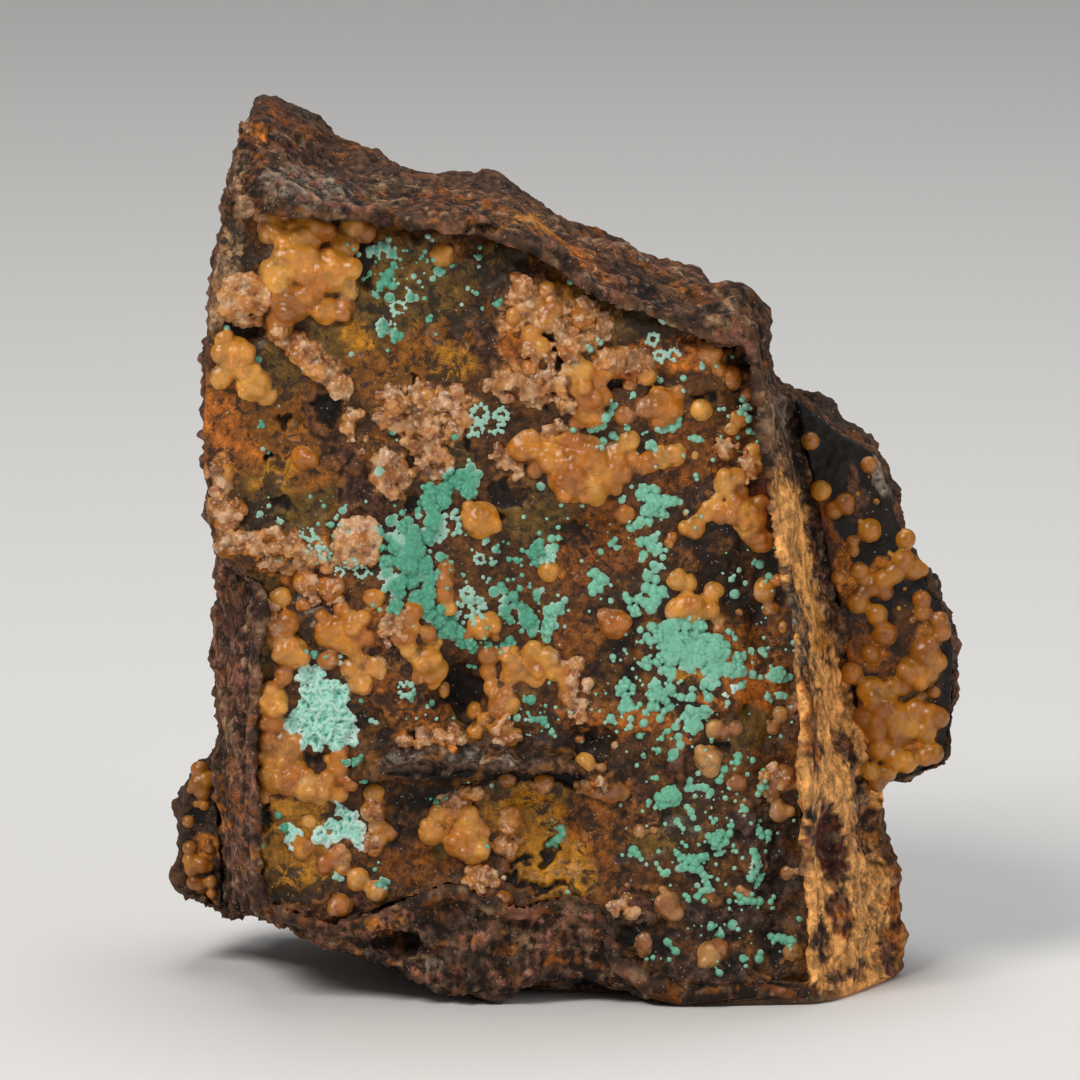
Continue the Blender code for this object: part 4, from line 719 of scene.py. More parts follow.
def overlapTree(*objects):
    # one tree over several pieces' faces
    points, faces = [], []
    for obj in objects:
        start = len(points)
        points += [v.co.copy() for v in obj.data.vertices]
        faces += [[start + k for k in p.vertices] for p in obj.data.polygons]
    return BVHTree.FromPolygons(points, faces)


def buildLumps():
    rng = random.Random(21)
    seated = [(centre, radius * 1.02, (rng.uniform(0.92, 1.1), 0.92, rng.uniform(0.92, 1.1)))
              for centre, radius, _ in seatBalls(groundTree, lumps["balls"], lumps["sink"])]
    buds = budsOn(seated, rng, 1.25, 1.7, (0.45, 0.78), 0.74)

    def hiddenOf(points):
        return points[:, 1] > veinDepth(points[:, 0], points[:, 2]) + 0.9

    def riseOf(points):
        return 0.07 * noiseAt(points, 1.3, 4.0) + 0.035 * noiseAt(points, 3.0, 14.0)

    return growBalls("smithsonite_lumps", seated + buds, 4, lumps, 1, hiddenOf, riseOf), seated


print("smithsonite lumps")
lumpPiece, lumpSeats = buildLumps()


# ---- druse: crusts of little fused crystals, frosted on their edges
druse = {
    "voxel": 0.16, "most": 180000, "wobble": 0.4, "wobbleScale": 1.1, "sizes": (0.26, 0.95),
    # x, height as seen, half width, half height, turn, how many
    "clumps": rowsOf(6, [
        -15.7, 59.6, 3.4, 2.7, 0, 64, -14, 56.4, 2.3, 2.2, 0, 34, -13.2, 54, 1.7, 1.6, 0, 22,
        -17.6, 53, 1.9, 2, 0, 28, -11.2, 60.2, 1.9, 1.3, 0, 20, -10.6, 58, 1.2, 1.1, 0, 11,
        -4.8, 61.3, 3.4, 1.3, 0, 24, -6.6, 54.6, 1.4, 0.9, -30, 10, -4.9, 53.4, 0.6, 0.8, 0, 5,
        -1.4, 57.2, 1.1, 0.9, 0, 8, -4.4, 70.6, 1.3, 1.9, 0, 22, -3.4, 68.4, 1, 1, 0, 8, 0.2, 66.2, 0.9, 2.2, 20, 24,
        1.9, 69.2, 1.4, 1.1, 0, 15, 3.5, 67.4, 1, 1.8, -20, 18, 4.6, 64.2, 1.9, 1.3, 0, 20, 7.3, 64.3, 1.6, 1, 0, 15,
        -2.2, 61.4, 2.4, 1.5, 0, 30, -5.9, 62.4, 1.2, 0.9, 0, 10, 0.2, 59.9, 1.4, 1, 0, 10, -3.6, 65, 0.8, 1, 0, 6,
        -34.4, 51, 0.9, 3.2, 0, 20, -30.8, 46.1, 4.2, 1.1, 0, 46, -25.6, 64.4, 4.2, 1.3, -42, 62,
        -22.6, 61.4, 1.3, 1, 0, 10, -26.2, 44.4, 4.4, 1.4, 10, 44, -13.4, 26.6, 3.4, 1, 0, 26,
        -24.4, 41.4, 2.4, 1.2, -20, 18, -17.2, 38, 1.3, 2.4, 0, 16, -29.8, 38.6, 1, 1.8, 0, 10,
        -33.6, 49.4, 1.2, 1.4, 0, 10, -21, 57, 1, 2.4, 10, 12, 1.2, 30.8, 1.1, 3.2, 0, 18,
        -5.8, 27.2, 1.6, 1.6, 0, 12, 18.4, 54.6, 1.2, 2.4, 0, 14, 16, 55.8, 1.2, 0.9, 0, 8,
        -10.8, 20.6, 2, 1.2, 0, 14, -5.6, 15.8, 1.2, 1.6, 0, 12, -19.4, 17.6, 0.9, 3, 0, 14,
        -8.4, 12.2, 2.4, 1.2, 10, 16, 5.8, 9.6, 1.8, 1, 0, 10, 3, 21.6, 2, 0.9, 0, 12, 20.8, 22, 1.4, 1.6, 0, 12]),
    # round a hollow: x, height, ring radius, thickness
    "rings": rowsOf(4, [
        -32, 70.3, 2, 0.85, -20.7, 46.2, 1.9, 0.8, -13, 54, 1.2, 0.5, -9.9, 78.7, 0.4, 0.28, -14.2, 59.4, 0.9, 0.4,
        -3.3, 60.6, 0.9, 0.4, 5.6, 64.6, 0.8, 0.4, -2.2, 63.8, 0.8, 0.35, -26.2, 44.4, 0.9, 0.45,
        -17.3, 38, 0.8, 0.4, -11.3, 20.2, 0.7, 0.35, -5.6, 16, 0.7, 0.3]),
    # filled middles: x, height, radius
    "middles": [(-32.0, 70.3, 1.5), (-31.6, 71.4, 1.0), (-32.7, 69.3, 0.9), (-20.7, 46.2, 1.5), (-20.2, 45.6, 0.9)],
}


def buildDruse():
    rng = random.Random(34)
    seated = seatBalls(druseGround, druse["middles"], 0.35)
    seated += ringBalls(druseGround, druse["rings"], rng, 0.1)
    for x, v, halfX, halfV, turn, count in druse["clumps"]:
        a = math.radians(turn)
        for _ in range(count):
            away, round_ = math.sqrt(rng.random()), rng.uniform(0, 2 * math.pi)
            u, w = halfX * away * math.cos(round_), halfV * away * math.sin(round_)
            radius = rng.triangular(*druse["sizes"], 0.42)
            seated += seatBalls(druseGround, [(x + u * math.cos(a) - w * math.sin(a),
                                               v + u * math.sin(a) + w * math.cos(a), radius)], 0.15)

    def riseOf(points):
        return 0.10 * noiseAt(points, 1.8, 6.0) - 0.42 * facetsAt(points, 1.4, 3.0) - 0.2 * facetsAt(points, 2.8, 5.0)

    return growBalls("smithsonite_druse", seated, 3, druse, 0, lambda points: heightOver(druseGround, points) < -0.5,
                     riseOf), seated


print("druse")
druseGround = overlapTree(groundPiece, lumpPiece)
drusePiece, druseSeats = buildDruse()


# ---- malachite: velvety balls, joined patches and lace rings over everything else
malachite = {
    "voxel": 0.095, "most": 197000, "sink": 0.18, "wobble": 0.12, "wobbleScale": 1.6,
    "balls": rowsOf(3, [
        # upper left and the brown hollow beside it
        -21.8, 75.8, 0.25, -21.2, 75.3, 0.25, -20.7, 74.8, 0.35, -19.6, 75.2, 0.5, -18.8, 75.2, 0.6, -18, 75.5, 0.6,
        -17.4, 74.9, 0.6, -17.2, 73.8, 0.4, -17.6, 72.9, 0.6, -18, 72.1, 0.65, -18.6, 71.6, 0.4, -17.3, 71.7, 0.5,
        -19, 70.8, 0.4, -17.6, 70.5, 0.6, -19.5, 72.9, 0.4, -18.2, 67.5, 0.6, -18.4, 68.1, 0.5, -18.5, 66.9, 0.5,
        -17, 66.7, 0.6, -16.5, 66.7, 0.4, -33.9, 67.4, 0.4, -30.8, 64.3, 0.5, -21.4, 64.8, 0.3, -17.7, 76.3, 0.35,
        -15.9, 71.5, 0.2, -16.4, 78, 0.3, -15.6, 70.5, 0.6, -14.1, 75.1, 0.3, -13.9, 74.3, 0.2, -13.8, 76.6, 0.35,
        -13.3, 76.2, 0.25, -12.8, 73.2, 0.55, -13.3, 72.4, 0.4, -15.2, 72.6, 0.35, -14.7, 72.1, 0.3,
        -11.3, 73.7, 0.25, -8.6, 75.5, 0.3, -8.7, 74.5, 0.4, -8.7, 73.6, 0.25, -9.8, 71.4, 0.3, -9.3, 71.1, 0.25,
        -8.9, 70.9, 0.3, -10.4, 69.8, 0.25, -13.7, 68.3, 0.4, -13, 66.8, 0.2, -6.8, 69.8, 0.45, -8.3, 69.4, 0.3,
        -6.3, 76, 0.2, 0.4, 72, 0.4, -17.8, 65.2, 0.25,
        # upper right
        10.2, 68.6, 0.8, 10.9, 69.7, 0.4, 9.6, 68.4, 0.5, 10.9, 68.9, 0.5, 11.7, 62.5, 0.4, 11.7, 61.2, 0.3,
        9.4, 62.3, 0.4, 13.6, 63.6, 0.4, 6.7, 60.8, 0.4, 4.7, 59.8, 0.5, 16.6, 64.6, 0.25, 3.4, 66, 0.4,
        2.4, 65.3, 0.4, 17.9, 59.5, 0.5, 18.2, 58.4, 0.5, 17.6, 60.4, 0.4, 18.3, 57.2, 0.45, 17.2, 56.6, 0.3,
        17.4, 59, 0.4,
        # middle left
        -30.4, 57.8, 0.4, -30.3, 55.4, 0.3, -29.8, 55.1, 0.3, -30.6, 48.9, 0.4, -29.7, 49.7, 0.3, -28.6, 48.2, 0.3,
        -24.2, 49.7, 0.3, -22.3, 49.3, 0.5, -23, 48.5, 0.3, -23.5, 47.8, 0.4, -18.6, 47.1, 0.5, -18.4, 45.6, 0.4,
        -17.5, 48.2, 0.65, -17.3, 57.1, 0.4, -16.9, 56.3, 0.2, -18.7, 53.2, 0.35, -28.7, 59.7, 0.2, -33.8, 59, 0.15,
        -11.1, 56.6, 0.4, -9.7, 56.7, 0.3,
        # the fused patch left of the middle
        -9.9, 52.8, 0.9, -9.3, 52.1, 0.9, -9.7, 51.1, 0.9, -10.6, 51.8, 0.8, -11.5, 52.4, 0.8, -12.2, 51.2, 1.1,
        -13.6, 51, 0.8, -13.8, 50, 0.8, -12.5, 50.2, 1.1, -13.3, 49.2, 0.9, -13.3, 48.2, 1.1, -13.7, 46.8, 1.2,
        -15.5, 46.8, 1.2, -15.4, 45.3, 1.5, -16.9, 45.6, 1, -16, 44, 1.3, -14.4, 43.8, 1.3, -17, 42.1, 1.2,
        -15.5, 42.4, 1.2, -13.7, 42.3, 0.8, -13.8, 41, 1, -16.8, 41, 0.9, -15, 40.5, 0.9, -14, 40, 1, -17, 39.8, 0.8,
        -13.8, 39, 1, -12.9, 38.3, 1.1, -12, 37.4, 1.2, -11, 37.1, 1.1, -10.6, 36.2, 0.8, -9.6, 36, 0.7,
        -9.5, 53.7, 0.6, -10.6, 53, 0.6, -8.8, 52.9, 0.6, -11.5, 53.3, 0.4, -17.7, 44.2, 0.7, -17.6, 46.6, 0.6,
        -17.9, 42.9, 0.6, -16.4, 49, 0.4, -11, 49.2, 0.35, -12.8, 43, 0.4, -15.8, 48.2, 0.6, -14.7, 49.2, 0.5,
        -16.4, 47.6, 0.7, -12.6, 44.6, 0.6, -9.5, 36, 0.6, -9.4, 35.2, 0.4, -9, 35.6, 0.3, -12.5, 39.4, 0.6,
        -11.6, 38.3, 0.6, -8, 46.3, 0.45, -7.1, 45.4, 0.45, -7.4, 44, 0.4, -9.4, 45.3, 0.2, -5.7, 44.4, 0.35,
        -4.9, 44.3, 0.42, -4.4, 45.3, 0.3, -5.8, 46, 0.25, -3.4, 45, 0.7, -2, 44.7, 1, -1.5, 46.5, 0.5,
        -2.7, 47, 0.3, -0.8, 47.6, 0.3, -2.5, 51.7, 0.5, -2.7, 45.4, 0.7, -1.2, 45.5, 0.6, -3.1, 44.2, 0.5,
        -2.6, 46.1, 0.5, -0.8, 46.5, 0.4,
        # middle: crescent, star, column and fan
        0.75, 57.3, 0.4, 4.8, 59.8, 0.5, 3.9, 58.5, 0.6, 3.6, 57.8, 0.6, 2.5, 57.4, 0.5, 4.7, 56.8, 0.55,
        3.7, 56.2, 0.5, 3.5, 55.5, 0.4, 6.1, 57.5, 0.4, 4.4, 59, 0.5, 3, 57.5, 0.5, 9.2, 57.4, 0.4, 9.9, 57.4, 0.5,
        10.6, 57.5, 0.55, 11.2, 57.9, 0.5, 11.3, 58.4, 0.35, 12.8, 56.5, 0.45, 13.3, 56.4, 0.4, 12.4, 56.5, 0.3,
        8.6, 55.8, 0.65, 8.2, 55.6, 0.4, 13, 52.8, 0.35, 13.1, 52.4, 0.3, 7.8, 51.4, 0.75, 7.4, 51, 0.65,
        8.3, 50.6, 0.8, 9, 50.3, 0.9, 10, 50.2, 0.8, 10.8, 50.2, 0.6, 11.4, 50.1, 0.4, 8.6, 49.4, 0.9,
        9.4, 49.2, 0.7, 8, 49.3, 0.7, 9, 51.3, 0.5, 5.6, 50.3, 0.45, 6.5, 47.6, 0.6, 7.5, 48.2, 0.6, 8.3, 48.2, 0.5,
        9.5, 48.4, 0.25, 7, 47.8, 0.5, 0.2, 48.5, 0.2, 2.1, 47.8, 0.15, 4.4, 47.9, 0.15, 4.2, 47.1, 0.15,
        5, 46.4, 0.35, 4.5, 45.9, 0.4, 5.1, 45.5, 0.35, 5.4, 45.6, 0.2, 3.5, 45.1, 0.4, 7.5, 46, 0.55,
        8.2, 46.2, 0.6, 8.8, 46.5, 0.55, 9.2, 47, 0.3, 8.6, 45.6, 0.65, 9.2, 45.3, 0.55, 7.8, 44.8, 0.55,
        7.6, 44.4, 0.4, 9.7, 44.6, 0.4, 8.8, 43.9, 0.55, 9.5, 43.7, 0.4, 9, 43.4, 0.45, 10, 45.3, 0.3, 2.9, 43, 0.6,
        3.5, 42.5, 0.65, 3, 41.8, 0.75, 3.8, 42.3, 0.65, 2.6, 41.6, 0.5, 3.4, 41.3, 0.45, 8.2, 42.7, 0.65,
        9, 42.4, 0.55, 8, 41.5, 0.6, 8.7, 41.3, 0.65, 9.6, 41.2, 0.65, 9.9, 40.9, 0.4, 19.4, 43.9, 0.6,
        20.4, 42.6, 0.5, 16.6, 42.4, 0.4, 17.3, 43.3, 0.35, 18, 42, 0.35, 16.9, 40.9, 0.6, 20.7, 47.7, 0.2,
        -0.5, 49.8, 0.3, 20.9, 45.6, 0.25,
        # left, round the mint pad
        -26, 35.1, 0.3, -25.2, 34.8, 0.5, -22.6, 34.7, 0.3, -22.6, 34, 0.3, -24, 34.6, 0.25, -26.5, 36, 0.15,
        -18.2, 41.3, 0.4, -17.6, 41.8, 0.6, -20.5, 30.2, 0.3, -21.3, 28.3, 0.3, -19.5, 28.2, 0.35, -19, 28, 0.3,
        -19.3, 39.8, 0.3, -18.6, 39.3, 0.3,
        # centre: the branch, the pair and the row
        -12.8, 43, 0.4, -7.7, 42.4, 0.25, -7.2, 41.1, 0.65, -6.5, 41.7, 0.5, -6.2, 41.2, 0.5, -5.3, 40.7, 0.6,
        -4.6, 41.5, 0.4, -6.1, 40.3, 0.55, -6.3, 39.5, 0.55, -6, 39.3, 0.6, -5.7, 38.4, 0.5, -5.3, 39.8, 0.4,
        -4.6, 39.7, 0.4, -4.1, 39, 0.85, -3.8, 38.3, 1.05, -3.4, 37.8, 0.85, -4.4, 37.2, 0.35, -1.2, 39.3, 0.8,
        -0.7, 39.7, 0.65, -1.6, 38.5, 0.75, -1.9, 37.2, 0.7, -1.9, 36.4, 0.55, -2, 39, 0.4, -0.5, 39.2, 0.5,
        -1.8, 37.8, 0.7, -0.1, 40.3, 0.45, -2.9, 41, 0.5, -2.4, 41.3, 0.35, -2.9, 40.5, 0.4, -2.7, 40, 0.25,
        -7.7, 35.8, 0.4, -7, 35.5, 0.3, -6.3, 35.8, 0.4, -5.7, 36.3, 0.55, -6.5, 35, 0.25, -9.7, 33.7, 0.35,
        -9.1, 33.6, 0.3, -3.5, 30.3, 0.6, -4.1, 30.3, 0.35, -1.7, 32, 0.25, -3.8, 29, 0.25, -4.9, 28.5, 0.5,
        -5.7, 28.5, 0.2, -3.4, 28.3, 0.4, -2.8, 28.3, 0.4, -2.2, 28, 0.45, -1.9, 27.7, 0.35, -1.4, 27, 0.4,
        -1.1, 26.6, 0.25, -3.9, 26.8, 0.15, -15.6, 30.7, 0.5, -16.5, 32, 0.3, -13.5, 30, 0.4, -13.9, 29.6, 0.3,
        -14.1, 28.8, 0.2, -15, 28.4, 0.2, -13, 28.4, 0.25, -11.3, 28.4, 0.25, -16, 28.4, 0.15,
        # right: the big patch
        4.5, 40.2, 0.35, 3.5, 40.4, 0.2, 6.3, 40.3, 0.5, 6, 40.8, 0.4, 7, 39.2, 0.7, 7.3, 40.4, 0.55, 8, 40, 0.65,
        8.5, 39.4, 0.65, 9, 40.2, 0.65, 9.7, 40.9, 0.5, 8.6, 41, 0.5, 7.5, 37.3, 0.45, 8.6, 37.6, 0.6,
        8.1, 36.6, 0.5, 8.4, 36.2, 0.5, 7.6, 36.1, 0.3, 7.1, 36.1, 0.2, 8.5, 35.6, 0.25, 10, 37.4, 0.95,
        10.8, 37.8, 0.95, 11.8, 37.8, 0.85, 12.8, 37.8, 0.75, 13.5, 37.7, 0.7, 10.2, 36.7, 0.8, 9.7, 35.8, 0.75,
        11, 36.4, 0.95, 11.8, 36.5, 0.8, 11, 35.5, 1.1, 10.6, 34.6, 1, 11.8, 34.8, 1.1, 12, 33.8, 0.9,
        10.4, 33.4, 0.8, 14, 36.1, 1.1, 15, 36, 1.1, 13.5, 35.3, 1.1, 14.6, 35, 1.3, 15.6, 35, 1, 14.8, 34, 1.1,
        13.2, 34.3, 1, 15.3, 33.4, 1, 16.2, 33.3, 0.9, 16.9, 33.2, 0.85, 14.8, 32.5, 0.8, 12.4, 35.8, 0.9,
        12.8, 36.7, 0.8, 9.3, 36.6, 0.7, 9.8, 34.6, 0.7, 13.6, 38.2, 0.4, 12.5, 33.4, 0.6, 9.6, 33.2, 0.5,
        10.7, 32.8, 0.5, 10.5, 32.4, 0.4, 13.9, 33.2, 0.6, 16, 35.7, 0.6, 16.3, 37.1, 0.4, 16.9, 36.4, 0.4,
        17.1, 34.5, 0.7, 17.7, 34.6, 0.5, 17.3, 33.4, 0.7, 17.7, 33.1, 0.6, 16.6, 32.9, 0.6, 18.6, 35.2, 0.4,
        19.7, 35.1, 0.55, 18.7, 34, 0.2, 18.7, 32.8, 0.55, 19.5, 32.5, 0.35, 21.3, 32.8, 1.05, 21.9, 32.5, 0.65,
        20.7, 32.6, 0.6, 20.2, 31, 0.2, 20.2, 30.6, 0.5, 21.5, 30.7, 0.5, 22, 30.6, 0.4, 21, 30.9, 0.2,
        22.9, 36, 0.4, 22.1, 35.3, 0.2, 22.9, 35.2, 0.2, 4.7, 34.6, 0.4, 5.9, 35.3, 0.3, 6.1, 34.9, 0.2,
        5.5, 34.3, 0.2, 6.9, 34.4, 0.15, 7.3, 34, 0.25, 6.7, 33.4, 0.25, 8, 34.3, 0.5, 8.2, 33.6, 0.5,
        7.7, 33.8, 0.4, 9.2, 34.1, 0.55, 7.1, 32.5, 0.25, 7.5, 32.2, 0.2,
        # the trails under it
        5.8, 31.7, 0.7, 5.4, 31.2, 0.5, 6.7, 31.5, 0.55, 6, 30.6, 0.5, 6.1, 29.9, 0.8, 5.7, 29.4, 0.6,
        6.5, 29.6, 0.5, 7.4, 29.8, 0.35, 5.2, 30.8, 0.3, 9, 31.7, 0.8, 8.7, 30.8, 0.8, 9.5, 30.8, 0.8,
        10.5, 31.4, 0.6, 10, 30.3, 0.6, 8.6, 29.6, 0.6, 7.9, 29, 0.4, 9, 29.5, 0.5, 10.4, 29.6, 0.6, 9.8, 29.1, 0.4,
        9.4, 28.4, 0.5, 7.8, 28, 0.5, 6.5, 28.4, 0.4, 6.4, 27.6, 0.4, 5.1, 27.1, 0.25, 7.4, 26.7, 0.45,
        9.6, 26.4, 0.35, 4.5, 28.4, 0.55, 3.9, 28, 0.25, 11.5, 30.6, 0.5, 12.6, 30.6, 0.6, 12.6, 31.4, 0.4,
        14, 32, 0.65, 14.6, 31.6, 0.5, 15.2, 31.9, 0.4, 13.7, 31.6, 0.4, 14.3, 30.5, 0.55, 14, 29.5, 0.6,
        13.9, 28.9, 0.65, 12.5, 29.3, 0.65, 12.1, 28.8, 0.55, 13, 28.5, 0.6, 11.7, 28.5, 0.35, 12.3, 29.6, 0.35,
        12.7, 27.6, 0.95, 12.3, 28, 0.5, 13.4, 27.6, 0.5, 12.2, 27.3, 0.4, 11, 27.6, 0.5, 10.2, 27.2, 0.4,
        11.3, 26.6, 0.5, 11.5, 25.7, 0.5, 10.8, 24.8, 0.65, 10.7, 24.4, 0.5, 9.3, 25.2, 0.4, 7.7, 24.8, 0.3,
        17.5, 31.7, 0.5, 16.2, 30, 0.35, 14.6, 26.1, 0.25, 21.6, 26.6, 0.25, 20.5, 26.5, 0.2, 22.7, 28, 0.2,
        17.3, 24.6, 0.5, 18.7, 24.2, 0.4, 17.2, 24, 0.45, 13.3, 29.2, 0.55,
        # lower left
        -28.9, 18.7, 0.45, -28.3, 17.5, 0.6, -26.3, 18.6, 0.12, -29.6, 17.8, 0.15, -30.6, 15.6, 0.35, -23, 12.5, 0.4,
        -23.3, 12.4, 0.25, -22.5, 12.3, 0.3, -18.4, 11.8, 0.5, -18.7, 11.6, 0.4, -17.9, 11.9, 0.35, -18.1, 11.3, 0.3,
        -19.2, 13.2, 0.3, -18.8, 13.9, 0.2, -20.8, 24.1, 0.5, -20.5, 24.6, 0.3, -21.2, 23.8, 0.35, -21.3, 25.8, 0.4,
        -22, 24, 0.4, -20.2, 22.2, 0.4, -31.4, 21.5, 0.25, -31.1, 20.6, 0.25, -30.8, 19.7, 0.25,
        # lower middle
        -7.5, 21.7, 0.3, -13, 19.9, 0.4, -12, 20.4, 0.3, -13.6, 20.3, 0.2, -9.8, 22, 0.2, -0.5, 17.3, 0.5,
        -1.2, 16, 0.65, -0.3, 16.8, 0.5, -0.8, 16.2, 0.55, -1.8, 15.7, 0.45, -0.9, 15.6, 0.35, -1.4, 18.2, 0.2,
        -1.1, 17.9, 0.15, -1.8, 16.9, 0.15, -7.9, 15.5, 0.3, -8.2, 15.9, 0.15, 0.2, 10.9, 0.3, -1.1, 13.6, 0.1,
        # lower right
        7.8, 24.6, 0.3, 7.1, 23.7, 0.3, 9.1, 22.4, 0.35, 13.3, 22.9, 0.35, 15.9, 23.3, 0.5, 15.4, 22.2, 0.5,
        18.2, 22.8, 0.3, 19.8, 23.2, 0.3, 16.4, 21.4, 0.3, 16, 20.4, 0.35, 10.5, 20.8, 1.2, 9.9, 20.3, 1.05,
        9.4, 20.5, 0.65, 10.8, 20.3, 0.95, 9.2, 19.6, 0.4, 8.3, 20, 0.4, 12.4, 22.2, 0.45, 12.2, 21.4, 0.5,
        12.6, 21.4, 0.5, 13.4, 21.5, 0.45, 14, 21.4, 0.5, 14.5, 21, 0.5, 14.3, 20.6, 0.35, 13, 20.6, 0.3,
        7.7, 19.1, 0.25, 12.2, 19.5, 0.4, 12.6, 19, 0.5, 12.8, 18.4, 0.4, 11.2, 18, 0.45, 11.5, 17.6, 0.3,
        11.8, 17.3, 0.3, 13.2, 17.3, 0.4, 14.6, 19.4, 0.2, 14.5, 18.4, 0.25, 15, 16.3, 0.8, 15.2, 15.8, 0.75,
        14.6, 16.2, 0.5, 15.6, 16.9, 0.45, 16.4, 16.8, 0.45, 16.6, 17.6, 0.4, 15.5, 14.9, 0.4, 15.1, 14.7, 0.3,
        16.8, 15.6, 0.3, 17.1, 15, 0.3, 14.8, 17.9, 0.3, 18, 19.2, 0.45, 19.5, 18.1, 0.3, 19.4, 17.1, 0.5,
        19.6, 16.5, 0.45, 20.3, 16.8, 0.5, 20.3, 16.3, 0.4, 21.3, 16.8, 0.25, 19.6, 21.4, 0.45, 19.3, 20.8, 0.4,
        20.2, 21.5, 0.35, 20, 22.1, 0.3, 18.8, 15, 0.55, 19, 14.4, 0.65, 19.1, 13.6, 0.6, 18.6, 12.4, 0.55,
        19.4, 12.4, 0.55, 19.2, 11.8, 0.4, 20, 15, 0.3, 19, 13, 0.5, 11.2, 14.8, 0.45, 11.8, 14.4, 0.45,
        12.4, 14.2, 0.55, 12.9, 13.9, 0.65, 13.6, 14.5, 0.55, 14, 14.6, 0.45, 11.3, 13.3, 0.45, 12, 13.4, 0.45,
        12.7, 13.3, 0.55, 13.4, 13.2, 0.55, 13.8, 12.7, 0.45, 14, 12.4, 0.45, 14.2, 11.8, 0.5, 14.3, 11.2, 0.5,
        13.6, 11, 0.45, 13.2, 10.5, 0.45, 13.2, 11.6, 0.35, 13.9, 10, 0.35, 12, 10.6, 0.35, 12.3, 10.1, 0.35,
        12.1, 15.6, 0.3, 6.8, 15.1, 0.6, 7.2, 14.7, 0.45, 7.6, 14.2, 0.3, 8.1, 13.7, 0.25, 9.3, 15, 0.3,
        9.1, 13.8, 0.3, 9.4, 13.3, 0.3, 9.8, 12.8, 0.45, 10.2, 13, 0.4, 10.5, 11.6, 0.2, 17.5, 10.6, 0.5,
        18.2, 10.1, 0.55, 18.8, 10, 0.5, 19.4, 10, 0.55, 16.4, 10, 0.35, 20.6, 9.9, 0.35, 20.9, 10.4, 0.3,
        20.8, 9.3, 0.3, 14.5, 7.5, 0.55, 16.8, 7.6, 0.6, 15.6, 6.7, 0.55, 10.3, 5.9, 0.55, 11.1, 5, 0.55,
        10.4, 4.1, 0.35, 8.1, 4.2, 0.3, 8.8, 4.3, 0.35, 15.4, 2.8, 0.5, 17.8, 4.2, 0.5, 18.1, 3.4, 0.3,
        19.4, 4.2, 0.6, 20.7, 1.5, 0.45, 20.6, 6.4, 0.45, 21.3, 6.2, 0.5, 22, 6.1, 0.65, 22.8, 6, 0.65,
        22.4, 5.8, 0.5, 23.5, 8.2, 0.35, 23.6, 20.6, 0.35, 23.6, 20, 0.4, 23.7, 21.2, 0.25, 22.9, 18.1, 0.25,
        24, 17.4, 0.2]),
    # lace: x, height, ring radius, thickness
    "rings": rowsOf(4, [
        -16.8, 69.4, 0.7, 0.25, -17.6, 67.4, 0.6, 0.22, -8.6, 59, 0.8, 0.3, -7.3, 57.8, 0.95, 0.3,
        -6.4, 58.9, 0.6, 0.28, -8.9, 57.4, 0.6, 0.26, -11.5, 47.8, 1, 0.34, -12.8, 47, 0.7, 0.32,
        -8.6, 44.5, 0.55, 0.26, -25.9, 46.9, 0.6, 0.26, -25, 46, 0.6, 0.26, -24.2, 45, 0.6, 0.26,
        -21.5, 43.9, 0.55, 0.24, -20.5, 43.1, 0.6, 0.24, -18.4, 42.8, 0.4, 0.2, 8.7, 66.3, 0.6, 0.28,
        9.4, 64.7, 0.6, 0.28, 10.7, 64.8, 0.55, 0.26, 10.1, 68.6, 0.6, 0.3, -9.6, 39.5, 1.35, 0.42,
        -9, 39.9, 0.7, 0.3, -9.9, 41, 0.6, 0.3, -16, 31.3, 0.7, 0.3, -28.6, 48.2, 0.3, 0.15, -3.4, 26.8, 0.25, 0.12,
        19.1, 13.6, 0.5, 0.24, -2, 44.7, 0.8, 0.35, -21.4, 64.8, 0.25, 0.12, -18.7, 53.2, 0.4, 0.2,
        -22.6, 43, 0.5, 0.22, 17.9, 59.5, 0.45, 0.2]),
    # swarms of tiny balls over a patch: x, height, half width, half height, how many
    "swarms": rowsOf(5, [
        10.5, 31, 7, 6.5, 60, 14, 18, 7, 8, 70, 8, 48, 5, 9, 30, -5, 41, 5, 6, 34, -14, 46, 5, 8, 34,
        -16, 73, 5, 4, 26, 19, 36, 4, 8, 22, -3, 28.5, 4, 3, 14, 17, 58, 2.5, 5, 12, -24, 47, 5, 4, 18,
        15, 7, 8, 4, 22]),
}

